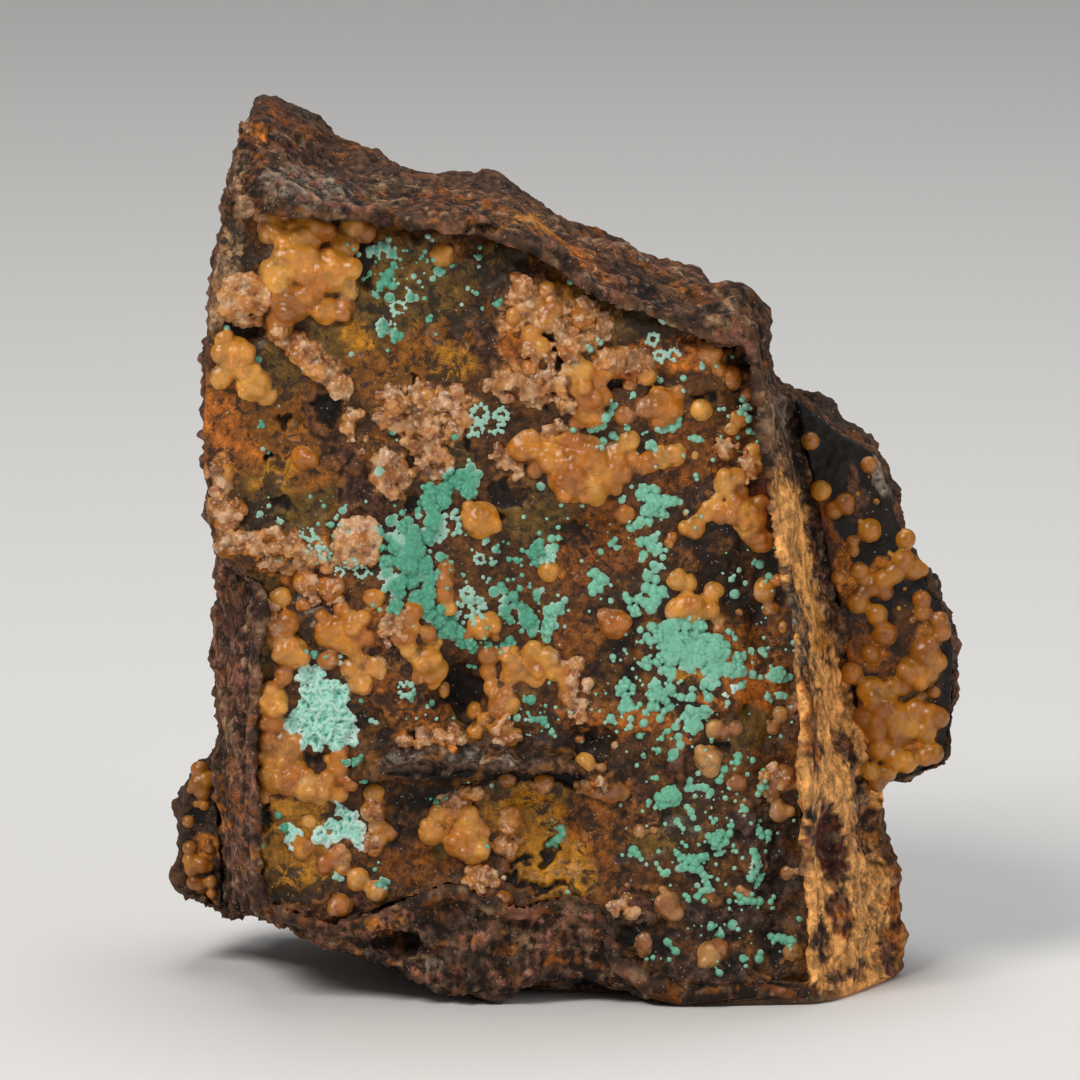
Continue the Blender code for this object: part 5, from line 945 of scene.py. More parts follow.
mintPads = {
    "voxel": 0.15, "most": 120000, "wobble": 0.5, "wobbleScale": 1.2, "sink": 0.35,
    "balls": rowsOf(3, [
        -26.4, 33.5, 0.7, -25.7, 33, 0.9, -24.6, 32.4, 1, -26.6, 32.3, 0.7, -23.3, 31.6, 1.1, -25.5, 31, 1.2,
        -26.3, 29.8, 1.1, -24, 30, 1.4, -22.6, 30.3, 1, -27.3, 28.6, 1.1, -25.5, 28.5, 1.4, -23.5, 28.4, 1.3,
        -22, 28.5, 1, -27.3, 27, 1, -25.7, 26.7, 1.3, -24, 26.9, 1.2, -22.4, 27, 1, -21.3, 27.3, 0.8,
        -21.4, 26.2, 0.7, -28.1, 27.8, 0.6, -24.8, 25.7, 0.8, -22.9, 25.7, 0.8, -26.6, 25.8, 0.6, -24.9, 33.4, 0.6,
        -22.1, 31.4, 0.6, -22.8, 19.2, 0.7, -22.1, 19, 0.8, -21.2, 18.8, 0.7, -23.8, 17.8, 0.8, -23, 17.4, 0.9,
        -22, 17.6, 1, -20.9, 17.4, 0.9, -24.8, 16.9, 0.8, -24.9, 16.3, 0.7, -24, 16.1, 0.7, -23.2, 16.4, 0.8,
        -22.2, 16.5, 0.8, -21.1, 16.3, 0.8, -20.6, 15.7, 0.7, -23, 20, 0.4, -28.3, 17.6, 0.7, -28, 16.9, 0.7,
        -27.5, 17.3, 0.7, -26.8, 17, 0.7, -27.7, 16.2, 0.6, -27.4, 15.4, 0.4, -27.6, 14.7, 0.3, -21.9, 23.9, 0.4,
        16.5, 31.2, 0.6, 17, 31.6, 0.4, 16.1, 30.8, 0.4, -26.2, 31.6, 0.9, -24.8, 31.4, 1.2, -26.6, 28, 1.2,
        -24.6, 29.2, 1.3, -22.8, 29.3, 1.1, -24.8, 27.4, 1.3, -23.2, 27.6, 1.1]),
}


def seatMalachite():
    # broad balls are flat cushions covered with buds, middling ones carry smaller ones round their foot
    rng = random.Random(5)
    seated, small = [], []
    for centre, radius, _ in seatBalls(faceGround, malachite["balls"], malachite["sink"]):
        broad = radius > 0.7
        share = 0.88 if broad else 0.92
        seated.append((centre, radius * share, (1.0, 0.62 if broad else 0.9, 1.0)))
        most = 3 if centre.x < -2 else 1
        for _ in range(rng.randrange(most + 1) if 0.38 < radius < 0.9 else 0):
            a, away = rng.uniform(0, 2 * math.pi), radius * rng.uniform(0.85, 1.15)
            small.append((centre.x + away * math.cos(a), seenHeight(np.array([centre]))[0] + away * math.sin(a),
                          radius * rng.uniform(0.35, 0.6)))
    small = seatBalls(faceGround, small, 0.1, (1.0, 0.9, 1.0))
    buds = budsOn(seated, rng, 0.62, 5.0, (0.28, 0.46), 0.9)
    lace = []
    for x, v, radius, thick in malachite["rings"]:
        for k in range(int(30 * radius) + 8):
            if rng.random() < 0.8:
                a, away = 0.7 * k, radius * rng.uniform(0.62, 1.25)
                lace += seatBalls(faceGround, [(x + away * math.cos(a), v + away * math.sin(a),
                                                thick * rng.uniform(0.45, 0.95))], 0.05, (1.0, 0.7, 1.0))
    for x, v, halfX, halfV, count in malachite["swarms"]:
        for _ in range(count):
            seated += seatBalls(faceGround, [(x + halfX * rng.gauss(0, 0.5), v + halfV * rng.gauss(0, 0.5),
                                              rng.uniform(0.12, 0.26))], 0.1)
    return seated + small + buds, lace


def buildMalachite(name, balls):
    return growBalls(name, balls, 3, malachite, 0, lambda points: heightOver(faceGround, points) < -0.3,
                     lambda points: 0.035 * noiseAt(points, 3.0, 2.0) + 0.025 * noiseAt(points, 6.0, 5.0))


def buildPads():
    # spongy pads: worm-eaten ridges of pale crystals with holes, which the material darkens as painted shade
    def riseOf(points):
        bent = points + 0.35 * np.stack([noiseAt(points, 1.1, s) for s in (1.0, 31.0, 61.0)], axis=1)
        rise = 0.30 * (ridgesAt(bent, 0.85, 7.0) - 0.6) + 0.16 * (ridgesAt(bent, 1.9, 27.0) - 0.6)
        return rise + 0.07 * noiseAt(points, 4.0, 3.0)

    seated = seatBalls(faceGround, mintPads["balls"], mintPads["sink"], (1.0, 0.8, 1.0))
    return growBalls("malachite_mint_pads", seated, 3, mintPads, 1,
                     lambda points: heightOver(faceGround, points) < -0.5, riseOf)


print("malachite")
faceGround = overlapTree(groundPiece, lumpPiece, drusePiece)
growths, lace = seatMalachite()
# name, x range, z range
malachiteParts = {"malachite_left": (-99, -2, -99, 99), "malachite_right": (-2, 99, 27.5, 99),
                  "malachite_lower": (-2, 99, -99, 27.5)}
malachitePieces = {}
for name, (x0, x1, z0, z1) in malachiteParts.items():
    here = [ball for ball in growths + lace if x0 <= ball[0].x < x1 and z0 <= ball[0].z < z1]
    malachitePieces[name] = buildMalachite(name, here)
padPiece = buildPads()


# ---- the block of iron-rich rock
rock = {
    "voxel": 0.38, "most": 196000, "base": "backRock",
    # what the front shows: stone, x, height as seen, half width, half height, turn
    "patches": [
        ("rimBrown", -20, 82, 17, 6, -12), ("rimBrown", 5, 75, 12, 5, -33), ("rimBrown", 16, 68, 5, 3, -20),
        ("beige", -32.4, 75, 1.8, 10), ("orange", -31.3, 86.6, 1.4, 1.2), ("darkBrown", -31.3, 83, 1.1, 2.1),
        ("grey", -25.7, 81.6, 4.5, 2.4, -10), ("purple", -27.1, 86.2, 3, 1.3, -20),
        ("darkRock", -21.6, 83.2, 4, 1.2, -18), ("black", -20.8, 80.4, 0.8, 0.5),
        ("black", -15.1, 80.6, 1.2, 0.5, -20), ("beige", -18.6, 80.6, 2.2, 0.8, -10),
        ("beige", -17, 82.6, 3, 0.7, -14), ("orange", -13.8, 83, 2.6, 0.5, -18), ("rust", -10.1, 80.4, 3, 0.7, -18),
        ("darkBrown", -8.6, 78.5, 1.7, 1), ("ochre", -6.6, 77.8, 1.6, 1.1), ("amber", -3.4, 78.3, 1.8, 0.8, -25),
        ("beige", 1, 77.4, 3.5, 0.8, -30), ("pinkRock", 4, 77, 2.2, 0.8, -30), ("rust", 7, 74.4, 4.5, 0.8, -34),
        ("grey", 6.5, 76.2, 3.5, 0.8, -33), ("orange", 3, 73.6, 4, 0.8, -38), ("black", 7.8, 70.9, 2.6, 0.7, -33),
        ("rust", 12, 71.5, 4, 0.8, -30), ("rimBrown", 17, 70, 3, 1.5, -30), ("black", 15, 69.2, 2, 0.8, -20),
        # left wall
        ("bark", -33.5, 28, 3.5, 17, 4), ("bark", -34.2, 57, 1.4, 12), ("pinkRock", -33, 33, 0.8, 5, 6),
        ("beige", -34, 50, 0.6, 5), ("darkRock", -34.2, 38, 0.7, 5, 4), ("rust", -33.4, 22, 0.6, 4, 5),
        ("beige", -33.8, 26, 0.5, 4, 3), ("rimBrown", -34.8, 22, 1.2, 6, 4), ("darkRock", -31.2, 26, 0.5, 16),
        ("orange", -35, 19, 0.9, 0.6), ("orange", -34.5, 17.3, 0.6, 0.6), ("rust", -33.6, 41.5, 1.6, 1.6),
        # tan band down the right side
        ("rimBrown", 19.4, 64.5, 1.6, 4.5, 10), ("beige", 20.9, 57.5, 1.3, 4.5, 12), ("tan", 22.6, 46, 2.1, 8, 9),
        ("tan", 25, 33, 3.6, 9, 10), ("tan", 27.6, 21, 5.2, 11, 10), ("ochre", 31.6, 9, 4, 10, 4),
        ("tan", 28.6, 8, 5.6, 9, 8), ("orange", 33.6, 9, 0.9, 4.5), ("tan", 27, 3, 3.5, 2, 8),
        ("grey", 21.6, 59.5, 0.6, 3.5, 12), ("beige", 23.5, 36, 0.8, 7, 9), ("orange", 24.5, 28, 0.8, 6, 6),
        ("beige", 25.8, 45, 1, 5, 12), ("amber", 26, 37, 0.8, 3.5, 10), ("bark", 28.6, 25, 1, 2.2, 14),
        ("redPit", 26.6, 15.5, 1.4, 4.4, 8), ("chocolate", 24.8, 17, 0.4, 3, 5), ("bark", 29.8, 15.5, 0.4, 2.4, 8),
        ("chocolate", 25.6, 6, 0.6, 2.2), ("bark", 27.6, 9.6, 1.5, 1.2, 20), ("bark", 28.2, 2.6, 2, 0.6, 10),
        ("orange", 27.8, 8, 1.2, 2, 15), ("bark", 32.6, 4, 0.6, 2.5), ("grey", 22.4, 40, 0.4, 4, 8),
        ("darkBrown", 25.2, 33.8, 0.3, 0.4), ("darkBrown", 25.6, 31, 0.3, 0.4), ("beige", 29.8, 20.6, 0.7, 3, 10),
        # broken face under the crust
        ("darkRock", -14, 6, 18, 5), ("rimBrown", -3, 8, 5, 3, 10), ("pinkRock", -4.6, 9, 2, 1.4, 30),
        ("pinkRock", -9, 6, 1.4, 0.9), ("pinkRock", -1.5, 7, 1.2, 1.6), ("rimBrown", -26, 7, 5, 2, -15),
        ("orange", -8, 12, 1.6, 0.8), ("rust", 0, 4.5, 1.6, 0.8), ("black", -17, 6.4, 2.8, 1),
        ("amber", -18.3, 7.6, 1.6, 0.8), ("black", -21, 3.6, 4, 0.8, -10), ("darkRock", 8, 1.5, 8, 1.6),
        ("black", 3, 2, 3, 0.8), ("rust", -12, 9.6, 2.5, 1, 10), ("pinkRock", 2.5, 7.5, 1, 1.4),
        ("darkBrown", 16, 1, 8, 1.6), ("grey", -13.5, 3.4, 1.8, 0.7, 20),
        # beside the shelf
        ("darkRock", 26, 46, 1.6, 4.5, 14), ("redPit", 28, 43, 1, 3.5, 14), ("purple", 28.5, 38, 2.2, 2.4)],
}


def rockLooks(points, normals):
    x, v = points[:, 0], seenHeight(points)
    front = paintPatches(x, v, points, rock["patches"], "darkRock", 1.0)
    # the back and the far sides: purple brown rock with rusty and pale veins
    back = np.tile(tintOf["backRock"], (len(points), 1))
    for stone, seed, low in (("rimBrown", 3, 0.0), ("darkRock", 15, 0.05), ("rust", 27, 0.12), ("beige", 51, 0.34)):
        share = smooth(low, low + 0.5, noiseAt(points, 0.11, seed) + 0.5 * noiseAt(points, 0.35, seed + 5)
                       + 0.35 * noiseAt(points, 1.1, seed + 9))
        back += (tintOf[stone] - back) * share[:, None]
    # small flecks of the other tints all over, but for the pale band
    fleck = smooth(1.1, 0.6, front[:, 0] / tintOf["tan"][0])
    for stone, seed in (("beige", 31), ("rust", 37), ("darkRock", 43), ("pinkRock", 53), ("black", 59)):
        share = smooth(0.26, 0.40, noiseAt(points, (0.5, 0.5, 0.8), seed) + 0.5 * noiseAt(points, 1.3, seed + 2))
        front += (tintOf[stone] - front) * (share * fleck * 0.75)[:, None]
    tone = 1 + 0.5 * noiseAt(points, (0.9, 0.9, 0.5), 21.0) + 0.5 * noiseAt(points, (2.0, 2.0, 1.0), 22.0)
    tone += 0.9 * smooth(-30.5, -32.5, x) * noiseAt(points, (2.4, 1.4, 0.28), 24.0)
    tone += 0.6 * smooth(15, 9, v) * noiseAt(points, 1.4, 25.0)
    front[:, :3] *= np.clip(tone, 0.4, 1.8)[:, None]
    facing = smooth(-0.7, -0.3, -normals[:, 1]) * smooth(4, -3, points[:, 1])
    return back + (front - back) * facing[:, None]


def edgeGap(x, z):
    # distance to the outline of the vein face's crust
    outline = np.array(ground["edge"] + ground["openEdge"])
    gap = np.full(len(x), 99.0)
    for (ax, az), (bx, bz) in zip(outline, np.roll(outline, -1, axis=0)):
        dx, dz = bx - ax, bz - az
        t = np.clip(((x - ax) * dx + (z - az) * dz) / (dx * dx + dz * dz), 0, 1)
        gap = np.minimum(gap, np.hypot(x - ax - t * dx, z - az - t * dz))
    return gap


def roughenRock(points, normals):
    x, y, z = points.T
    rim = smooth(70, 76, z + 0.5 * np.maximum(0, x))
    band = smooth(19, 21, x + 0.12 * (z - 60) * (z < 60)) * smooth(-6, -12, y) * smooth(72, 64, z)
    chips = 2.2 * facetsAt(points, 0.13, 4.0) + (1.3 - 0.6 * rim) * facetsAt(points, 0.31, 7.0)
    chips += (0.6 - 0.25 * rim) * facetsAt(points, 0.8, 9.0)
    chips += smooth(-2, 6, y) * 2.0 * facetsAt(points, 0.08, 12.0)
    rise = -chips * (1 - 0.86 * band)
    # thin plates along the top rim, which falls to the right
    slope = math.radians(24)
    along, across = x * math.cos(slope) - z * math.sin(slope), x * math.sin(slope) + z * math.cos(slope)
    plates = np.abs((across * 1.1 + 0.6 * noiseAt(points, 0.3, 70.0)) % 1.0 - 0.5)
    sheets = noiseAt(stack(along * 0.22, y * 0.7, across * 1.5), 1.0, 80.0)
    rise += rim * smooth(4, -3, y) * (0.40 * (plates - 0.25) + 0.45 * sheets)
    # upright grooves down the left wall and fibres in the broken rock under the crust
    wall = smooth(-30.5, -33, x) * (1 - rim)
    rise += wall * (0.6 * noiseAt(points, (1.3, 0.9, 0.16), 90.0) + 0.35 * noiseAt(points, (3.2, 2.0, 0.4), 95.0))
    rise += smooth(14, 9, z) * 0.35 * noiseAt(points, (2.2, 1.4, 0.5), 99.0)
    rise += 0.22 * (1 - 0.5 * band) * noiseAt(points, 1.6, 33.0)
    rise += band * 0.18 * noiseAt(points, (1.4, 0.8, 0.25), 44.0)
    rise -= 1.4 * bell(np.hypot((x - 26.4 + 0.12 * (z - 15.6)) / 1.5, (z - 15.6) / 4.5)) * (y < -8)
    # the rock stays up against the crust
    near = smooth(1.8, 0.6, edgeGap(x, z)) * (y < -8) * ((normals[:, 1] < -0.2) | (z < 4))
    rise += near * (0.9 * np.abs(rise) + 0.05 - rise)
    rise *= smooth(0.0, 1.2, z)
    moved = points + normals * rise[:, None]
    moved[:, 2] += 2.2 * bell((x - 17.0) / 4.0) * smooth(67.5, 71, across)
    moved[:, 2] += bell((x - 7.5) / 5.0) * smooth(70, 73.5, across)
    # the wall swells out beside the crust
    beside = smooth(-2, -8, y) * smooth(-28, -31, x) * smooth(44, 50, z) * smooth(81, 77, z)
    moved[:, 0] -= beside * (1.4 + 1.4 * noiseAt(points, (0.5, 0.5, 0.25), 46.0))
    free = np.array(ground["openEdge"])
    inside = np.interp(z, free[:, 1], free[:, 0]) + 0.3
    moved[:, 0] = np.where(beside > 0, np.maximum(moved[:, 0], inside), moved[:, 0])
    # the thin lip over the crust's upper left corner is worn back
    worn = smooth(-27, -31, x) * smooth(77.5, 79, z) * 0.8
    moved[:, 1] += worn * np.maximum(0, -15.5 - moved[:, 1])
    return moved


def inRecess(points):
    # the faces that the crust hides
    x, y, z = points.T
    return (x > -40) & (x < 24) & (z > 2) & (z < 79) & (np.abs(y + 9.5) < 0.6)


def buildRock():
    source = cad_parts["host_rock"].data.copy()
    bm = bmesh.new()
    bm.from_mesh(source)
    bmesh.ops.remove_doubles(bm, verts=bm.verts, dist=1e-7)
    bm.to_mesh(source)
    bm.free()
    setPoints(source, pointsOf(source) / mm - shift)
    body = newObject("gossan_block", source)
    fuse(body, rock["voxel"], 1)
    points, normals = pointsOf(body.data), normalsOf(body.data)
    hidden = inRecess(points)
    moved = roughenRock(points, normals)
    moved[hidden] = points[hidden]
    moved[:, 2] = np.maximum(moved[:, 2], 0.0)
    setPoints(body.data, moved)
    thinHidden(body, hidden | (points[:, 2] < 0.3), rock["most"])
    return body


print("rock block")
rockPiece = buildRock()


# ---- smithsonite on the shelf at the right and on the knob at the lower left
sideCrusts = {
    "shelf_smithsonite_crust": {
        "replaces": "shelf_smithsonite", "voxel": 0.19, "most": 110000, "floor": -3.0, "seed": 3.0, "wave": 0.25,
        "stand": 1.3, "swell": 0.5, "wobble": 0.12, "wobbleScale": 0.7, "skin": "chocolate",
        "edge": [
            (23.6, 58.6), (26.9, 55.8), (31.0, 53.4), (32.0, 50.6), (33.1, 46.8), (34.8, 43.2), (36.3, 39.6),
            (38.2, 36.3), (38.6, 32.2), (38.4, 27.4), (37.9, 22.6), (35.4, 21.9), (33.0, 20.9), (31.4, 20.0),
            (29.9, 28.5), (28.0, 38.6), (25.8, 48.8)],
        "patches": [
            ("rust", 26.5, 46, 1.2, 6, 20), ("orangeDruse", 28, 43.5, 0.9, 3.2, 15), ("purple", 26, 46, 1, 3.4, 10),
            ("darkRock", 28.6, 38, 2.4, 2.2), ("orangeDruse", 30.6, 34.8, 2.2, 1.6), ("rust", 29, 35.6, 2, 2),
            ("orangeDruse", 33, 27.5, 4, 4), ("rust", 34.5, 32, 3.5, 3), ("grey", 31.5, 52.5, 0.6, 2, 12),
            ("orangeDruse", 33, 43.4, 3.4, 1.2, 20), ("amber", 36.8, 37.5, 1.6, 1.2),
            ("darkBrown", 31, 49, 1.6, 2.4), ("brown", 34.5, 37.5, 1.6, 2.6), ("rimBrown", 29.2, 51, 0.8, 3, 10),
            ("darkBrown", 36.8, 31, 1, 3), ("olive", 35.4, 30.5, 1.4, 1.4)],
        "balls": rowsOf(3, [
            24.6, 56.3, 1, 25.7, 51.3, 1.1, 28.1, 50, 1.1, 27, 49.3, 1, 30.5, 53.9, 0.9, 30.6, 47.3, 1.3,
            34.2, 46.4, 1.1, 34, 44.2, 1.3, 35, 43.4, 1.2, 33, 43, 1.2, 32, 42.2, 1.2, 31, 41.6, 1.1, 29.6, 43.2, 1,
            35.9, 40.3, 1, 36, 39, 1, 37.6, 38.2, 1, 37.9, 37, 1, 32.2, 36.9, 1.4, 31.4, 38.8, 1.2, 28.9, 32.9, 1.2,
            30.8, 34.8, 1, 37.5, 34, 1.1, 36.2, 35, 1.7, 35, 33, 1.8, 36.5, 33, 1.3, 30.8, 31.2, 1.5, 33, 31.5, 1.1,
            32, 29.5, 1.7, 30.3, 28.4, 1.3, 31.5, 27.3, 1.5, 33.3, 28.3, 1.9, 34.5, 27.4, 1.4, 35.4, 29.2, 1.3,
            36.8, 28.6, 1.3, 37.6, 28.4, 1.2, 36.3, 27, 1.2, 33.2, 26.5, 1.4, 31.8, 25.2, 1.2, 33.4, 24.2, 1.4,
            34.4, 23.9, 1.2, 37.1, 24.8, 1.2, 36.3, 24.5, 1.1, 23.2, 54.9, 0.7, 23.7, 53.1, 0.95, 28.4, 49.6, 0.8,
            30.5, 52.7, 0.25, 29.4, 51, 0.3, 31.3, 50.2, 0.4, 28.9, 46.2, 0.7, 29, 45.2, 0.7, 34.6, 46.8, 0.8,
            35.8, 43.3, 0.8, 30, 42.5, 0.9, 27.5, 42.6, 0.8, 32.2, 41, 0.9, 31.6, 38.2, 0.9, 27, 35, 1.4,
            26.8, 34.8, 1.3, 28.6, 32.8, 1.15, 30.6, 34.8, 0.9, 29.5, 40, 1.2, 30, 41, 0.9, 31.5, 31.2, 1.2,
            34, 31.5, 1, 36.9, 26, 0.35, 32.5, 22.8, 1, 30.8, 23, 1, 31.5, 21.7, 0.9, 37.2, 31, 0.7, 36, 30.6, 0.6,
            34.9, 38.2, 0.35, 33.6, 39.4, 0.3, 34.2, 41.4, 0.3, 32.6, 45, 0.3, 29.6, 48.2, 0.3]),
    },
    "knob_smithsonite_crust": {
        "replaces": "knob_smithsonite", "voxel": 0.18, "most": 60000, "floor": 3.0, "seed": 5.0, "wave": 0.3,
        "stand": 1.2, "swell": 0.4, "wobble": 0.12, "wobbleScale": 0.7, "skin": "darkRock",
        "edge": [
            (-36.8, 20.4), (-37.6, 19.4), (-38.7, 15.6), (-38.9, 9.6), (-38.4, 8.3), (-36.7, 7.8), (-35.3, 6.6),
            (-35.9, 15.4)],
        "patches": [
            ("black", -37.4, 18.2, 1, 1), ("orangeDruse", -36.2, 15, 1.4, 1.6), ("black", -38.6, 10, 0.7, 1.4),
            ("rust", -36.6, 9.5, 1.2, 1.2)],
        "balls": rowsOf(3, [
            -37.2, 23, 0.9, -36.6, 22, 1, -37.4, 21.6, 0.9, -36.9, 20.8, 0.9, -38, 21, 0.5, -37.5, 19.5, 0.4,
            -36.7, 19.4, 0.6, -38.3, 17.7, 0.7, -38.2, 15, 0.8, -38.2, 13.8, 0.8, -38, 12.9, 0.8, -37, 13.3, 0.9,
            -37.6, 13.8, 0.6, -37.8, 11.5, 0.8, -37.3, 11.3, 0.7, -36.2, 15, 0.7, -36.3, 15.6, 0.4, -36.2, 13.1, 0.5,
            -36.1, 11.6, 0.7, -36, 10.4, 0.6]),
    },
}


def sideLooks(points, look):
    return paintPatches(points[:, 0], seenHeight(points), points, look["patches"], look["skin"], 0.7)


def buildSideCrust(name, look):
    def surface(x, z):
        return look["floor"] - look["stand"] - look["swell"] * noiseAt(stack(x, look["seed"], z), look["wave"])

    rng = random.Random(int(look["seed"]))
    slab = slabUnder(name, grown(look["edge"], 0.4), surface, 0.5, -40.0, look["floor"] + 0.3)
    fuse(slab, look["voxel"], 1)
    points, normals = pointsOf(slab.data), normalsOf(slab.data)
    looks = sideLooks(points, look)
    rise = 0.35 * noiseAt(points, 0.35, 4.0) + 0.12 * noiseAt(points, 1.3, 9.0)
    rise += looks[:, 3] * (0.5 * domesAt(points, 0.9, 6.0) - 0.7 * facetsAt(points, 0.6, 6.0))
    setPoints(slab.data, points + normals * rise[:, None])
    thinHidden(slab, points[:, 1] > look["floor"] - 0.4, look["most"])
    skinTree = faceTree(slab.data)
    seated = seatBalls(skinTree, look["balls"], 0.15)
    buds = budsOn(seated, rng, 1.5, 1.6, (0.45, 0.7), 0.74)
    balls = growBalls(name + "_lumps", seated + buds, 4, look, 1, lambda points: heightOver(skinTree, points) < -0.4)
    return slab, balls, seated


print("side crusts")
sidePieces = {name: buildSideCrust(name, look) for name, look in sideCrusts.items()}


# ---- shared shader parts

def mathNode(tree, operation, first, second=None, clamp=False):
    return addNode(tree, "ShaderNodeMath", {0: first, 1: second}, operation=operation, use_clamp=clamp).outputs[0]


def product(tree, first, second):
    return mathNode(tree, "MULTIPLY", first, second)


def total(tree, first, second, clamp=False):
    return mathNode(tree, "ADD", first, second, clamp)


def mixColour(tree, share, first, second):
    sides = [side if isinstance(side, bpy.types.NodeSocket) else (*side[:3], 1) for side in (first, second)]
    return addNode(tree, "ShaderNodeMix", {0: share, 6: sides[0], 7: sides[1]}, data_type="RGBA").outputs[2]


def rangeOf(tree, value, low, high, to=(0.0, 1.0)):
    node = addNode(tree, "ShaderNodeMapRange", {
        "Value": value, "From Min": low, "From Max": high, "To Min": to[0], "To Max": to[1]},
        interpolation_type="SMOOTHSTEP")
    return node.outputs["Result"]


def noiseNode(tree, place, scale, detail=3.0, roughness=0.6, distortion=0.0):
    return addNode(tree, "ShaderNodeTexNoise", {
        "Vector": place, "Scale": scale, "Detail": detail, "Roughness": roughness,
        "Distortion": distortion}).outputs["Fac"]


def makeGrainGroup():
    # fine grain of stone: a tone round 0.5 and a height
    tree, given, out = newTree("stoneGrain", "ShaderNodeTree", [
        ("Vector", "Vector", (0, 0, 0)), ("Coarse", "Float", 900.0), ("Fine", "Float", 4200.0)],
        [("Tone", "Float"), ("Height", "Float")])
    coarse = noiseNode(tree, given["Vector"], given["Coarse"], 4.0, 0.65)
    fine = noiseNode(tree, given["Vector"], given["Fine"], 2.0, 0.6)
    for label, share in (("Tone", 0.6), ("Height", 0.45)):
        feed(tree, out, {label: total(tree, product(tree, coarse, share), product(tree, fine, 1 - share))})
    return tree


def makeDendriteGroup():
    # branching dark marks of manganese, thicker where Amount is high
    tree, given, out = newTree("dendrites", "ShaderNodeTree", [
        ("Vector", "Vector", (0, 0, 0)), ("Amount", "Float", 0.5), ("Scale", "Float", 420.0)], [("Mask", "Float")])
    broad = noiseNode(tree, given["Vector"], given["Scale"], 6.0, 0.75, 1.2)
    where = noiseNode(tree, given["Vector"], 160.0, 3.0, 0.6)
    both = total(tree, product(tree, broad, 0.7), product(tree, where, 0.5))
    feed(tree, out, {"Mask": rangeOf(tree, total(tree, both, product(tree, given["Amount"], 0.19)), 0.735, 0.775)})
    return tree


def makeGlitterGroup():
    # scattered pale crystal faces, used as painted glints
    tree, given, out = newTree("glitter", "ShaderNodeTree", [
        ("Vector", "Vector", (0, 0, 0)), ("Amount", "Float", 0.5), ("Scale", "Float", 3600.0)], [("Mask", "Float")])
    cells = addNode(tree, "ShaderNodeTexVoronoi", {"Vector": given["Vector"], "Scale": given["Scale"]})
    pick = addNode(tree, "ShaderNodeSeparateColor", {0: cells.outputs["Color"]})
    edge = mathNode(tree, "SUBTRACT", 1.0, product(tree, given["Amount"], 0.12))
    chosen = mathNode(tree, "GREATER_THAN", pick.outputs[0], edge)
    small = mathNode(tree, "LESS_THAN", cells.outputs["Distance"], 0.42)
    feed(tree, out, {"Mask": product(tree, chosen, small)})
    return tree


grainGroup, dendriteGroup, glitterGroup = makeGrainGroup(), makeDendriteGroup(), makeGlitterGroup()


def useGroup(tree, group, inputs):
    return addNode(tree, "ShaderNodeGroup", inputs, node_tree=group).outputs


def attributeOf(tree, name, output="Fac"):
    return addNode(tree, "ShaderNodeAttribute", attribute_name=name).outputs[output]


def newMaterial(name):
    material = bpy.data.materials.new(name)
    material.use_nodes = True
    tree = material.node_tree
    return material, tree, tree.nodes["Principled BSDF"], tree.nodes.new("ShaderNodeTexCoord").outputs["Object"]


def addBump(tree, shader, height, strength, distance):
    bump = addNode(tree, "ShaderNodeBump", {"Strength": strength, "Distance": distance, "Height": height})
    feed(tree, shader, {"Normal": bump.outputs["Normal"]})


# ---- materials
# the crease colour is painted shade that hollows darken towards
stoneMaterials = {
    "vein_ground": {"mottle": 0.55, "creaseShade": (0.016, 0.008, 0.004), "creaseShare": 0.75,
                    "edge": (0.70, 0.46, 0.28), "edgeShare": 0.5, "bump": 0.8, "distance": 0.00032,
                    "wet": 0.42, "dry": 0.8, "coat": 0.06},
    "gossan": {"mottle": 0.75, "creaseShade": (0.012, 0.007, 0.005), "creaseShare": 0.5,
               "edge": (0.45, 0.31, 0.23), "edgeShare": 0.4, "bump": 0.9, "distance": 0.00045,
               "wet": 0.55, "dry": 0.88, "coat": 0.0},
}
# manganese marks, and the pale colour painted on specks as glints
manganese, paintedGlint = (0.014, 0.009, 0.005), (0.55, 0.44, 0.36)
waxCreaseShade, rustStain, paleFrost = (0.105, 0.036, 0.008), (0.10, 0.036, 0.009), (0.80, 0.55, 0.38)


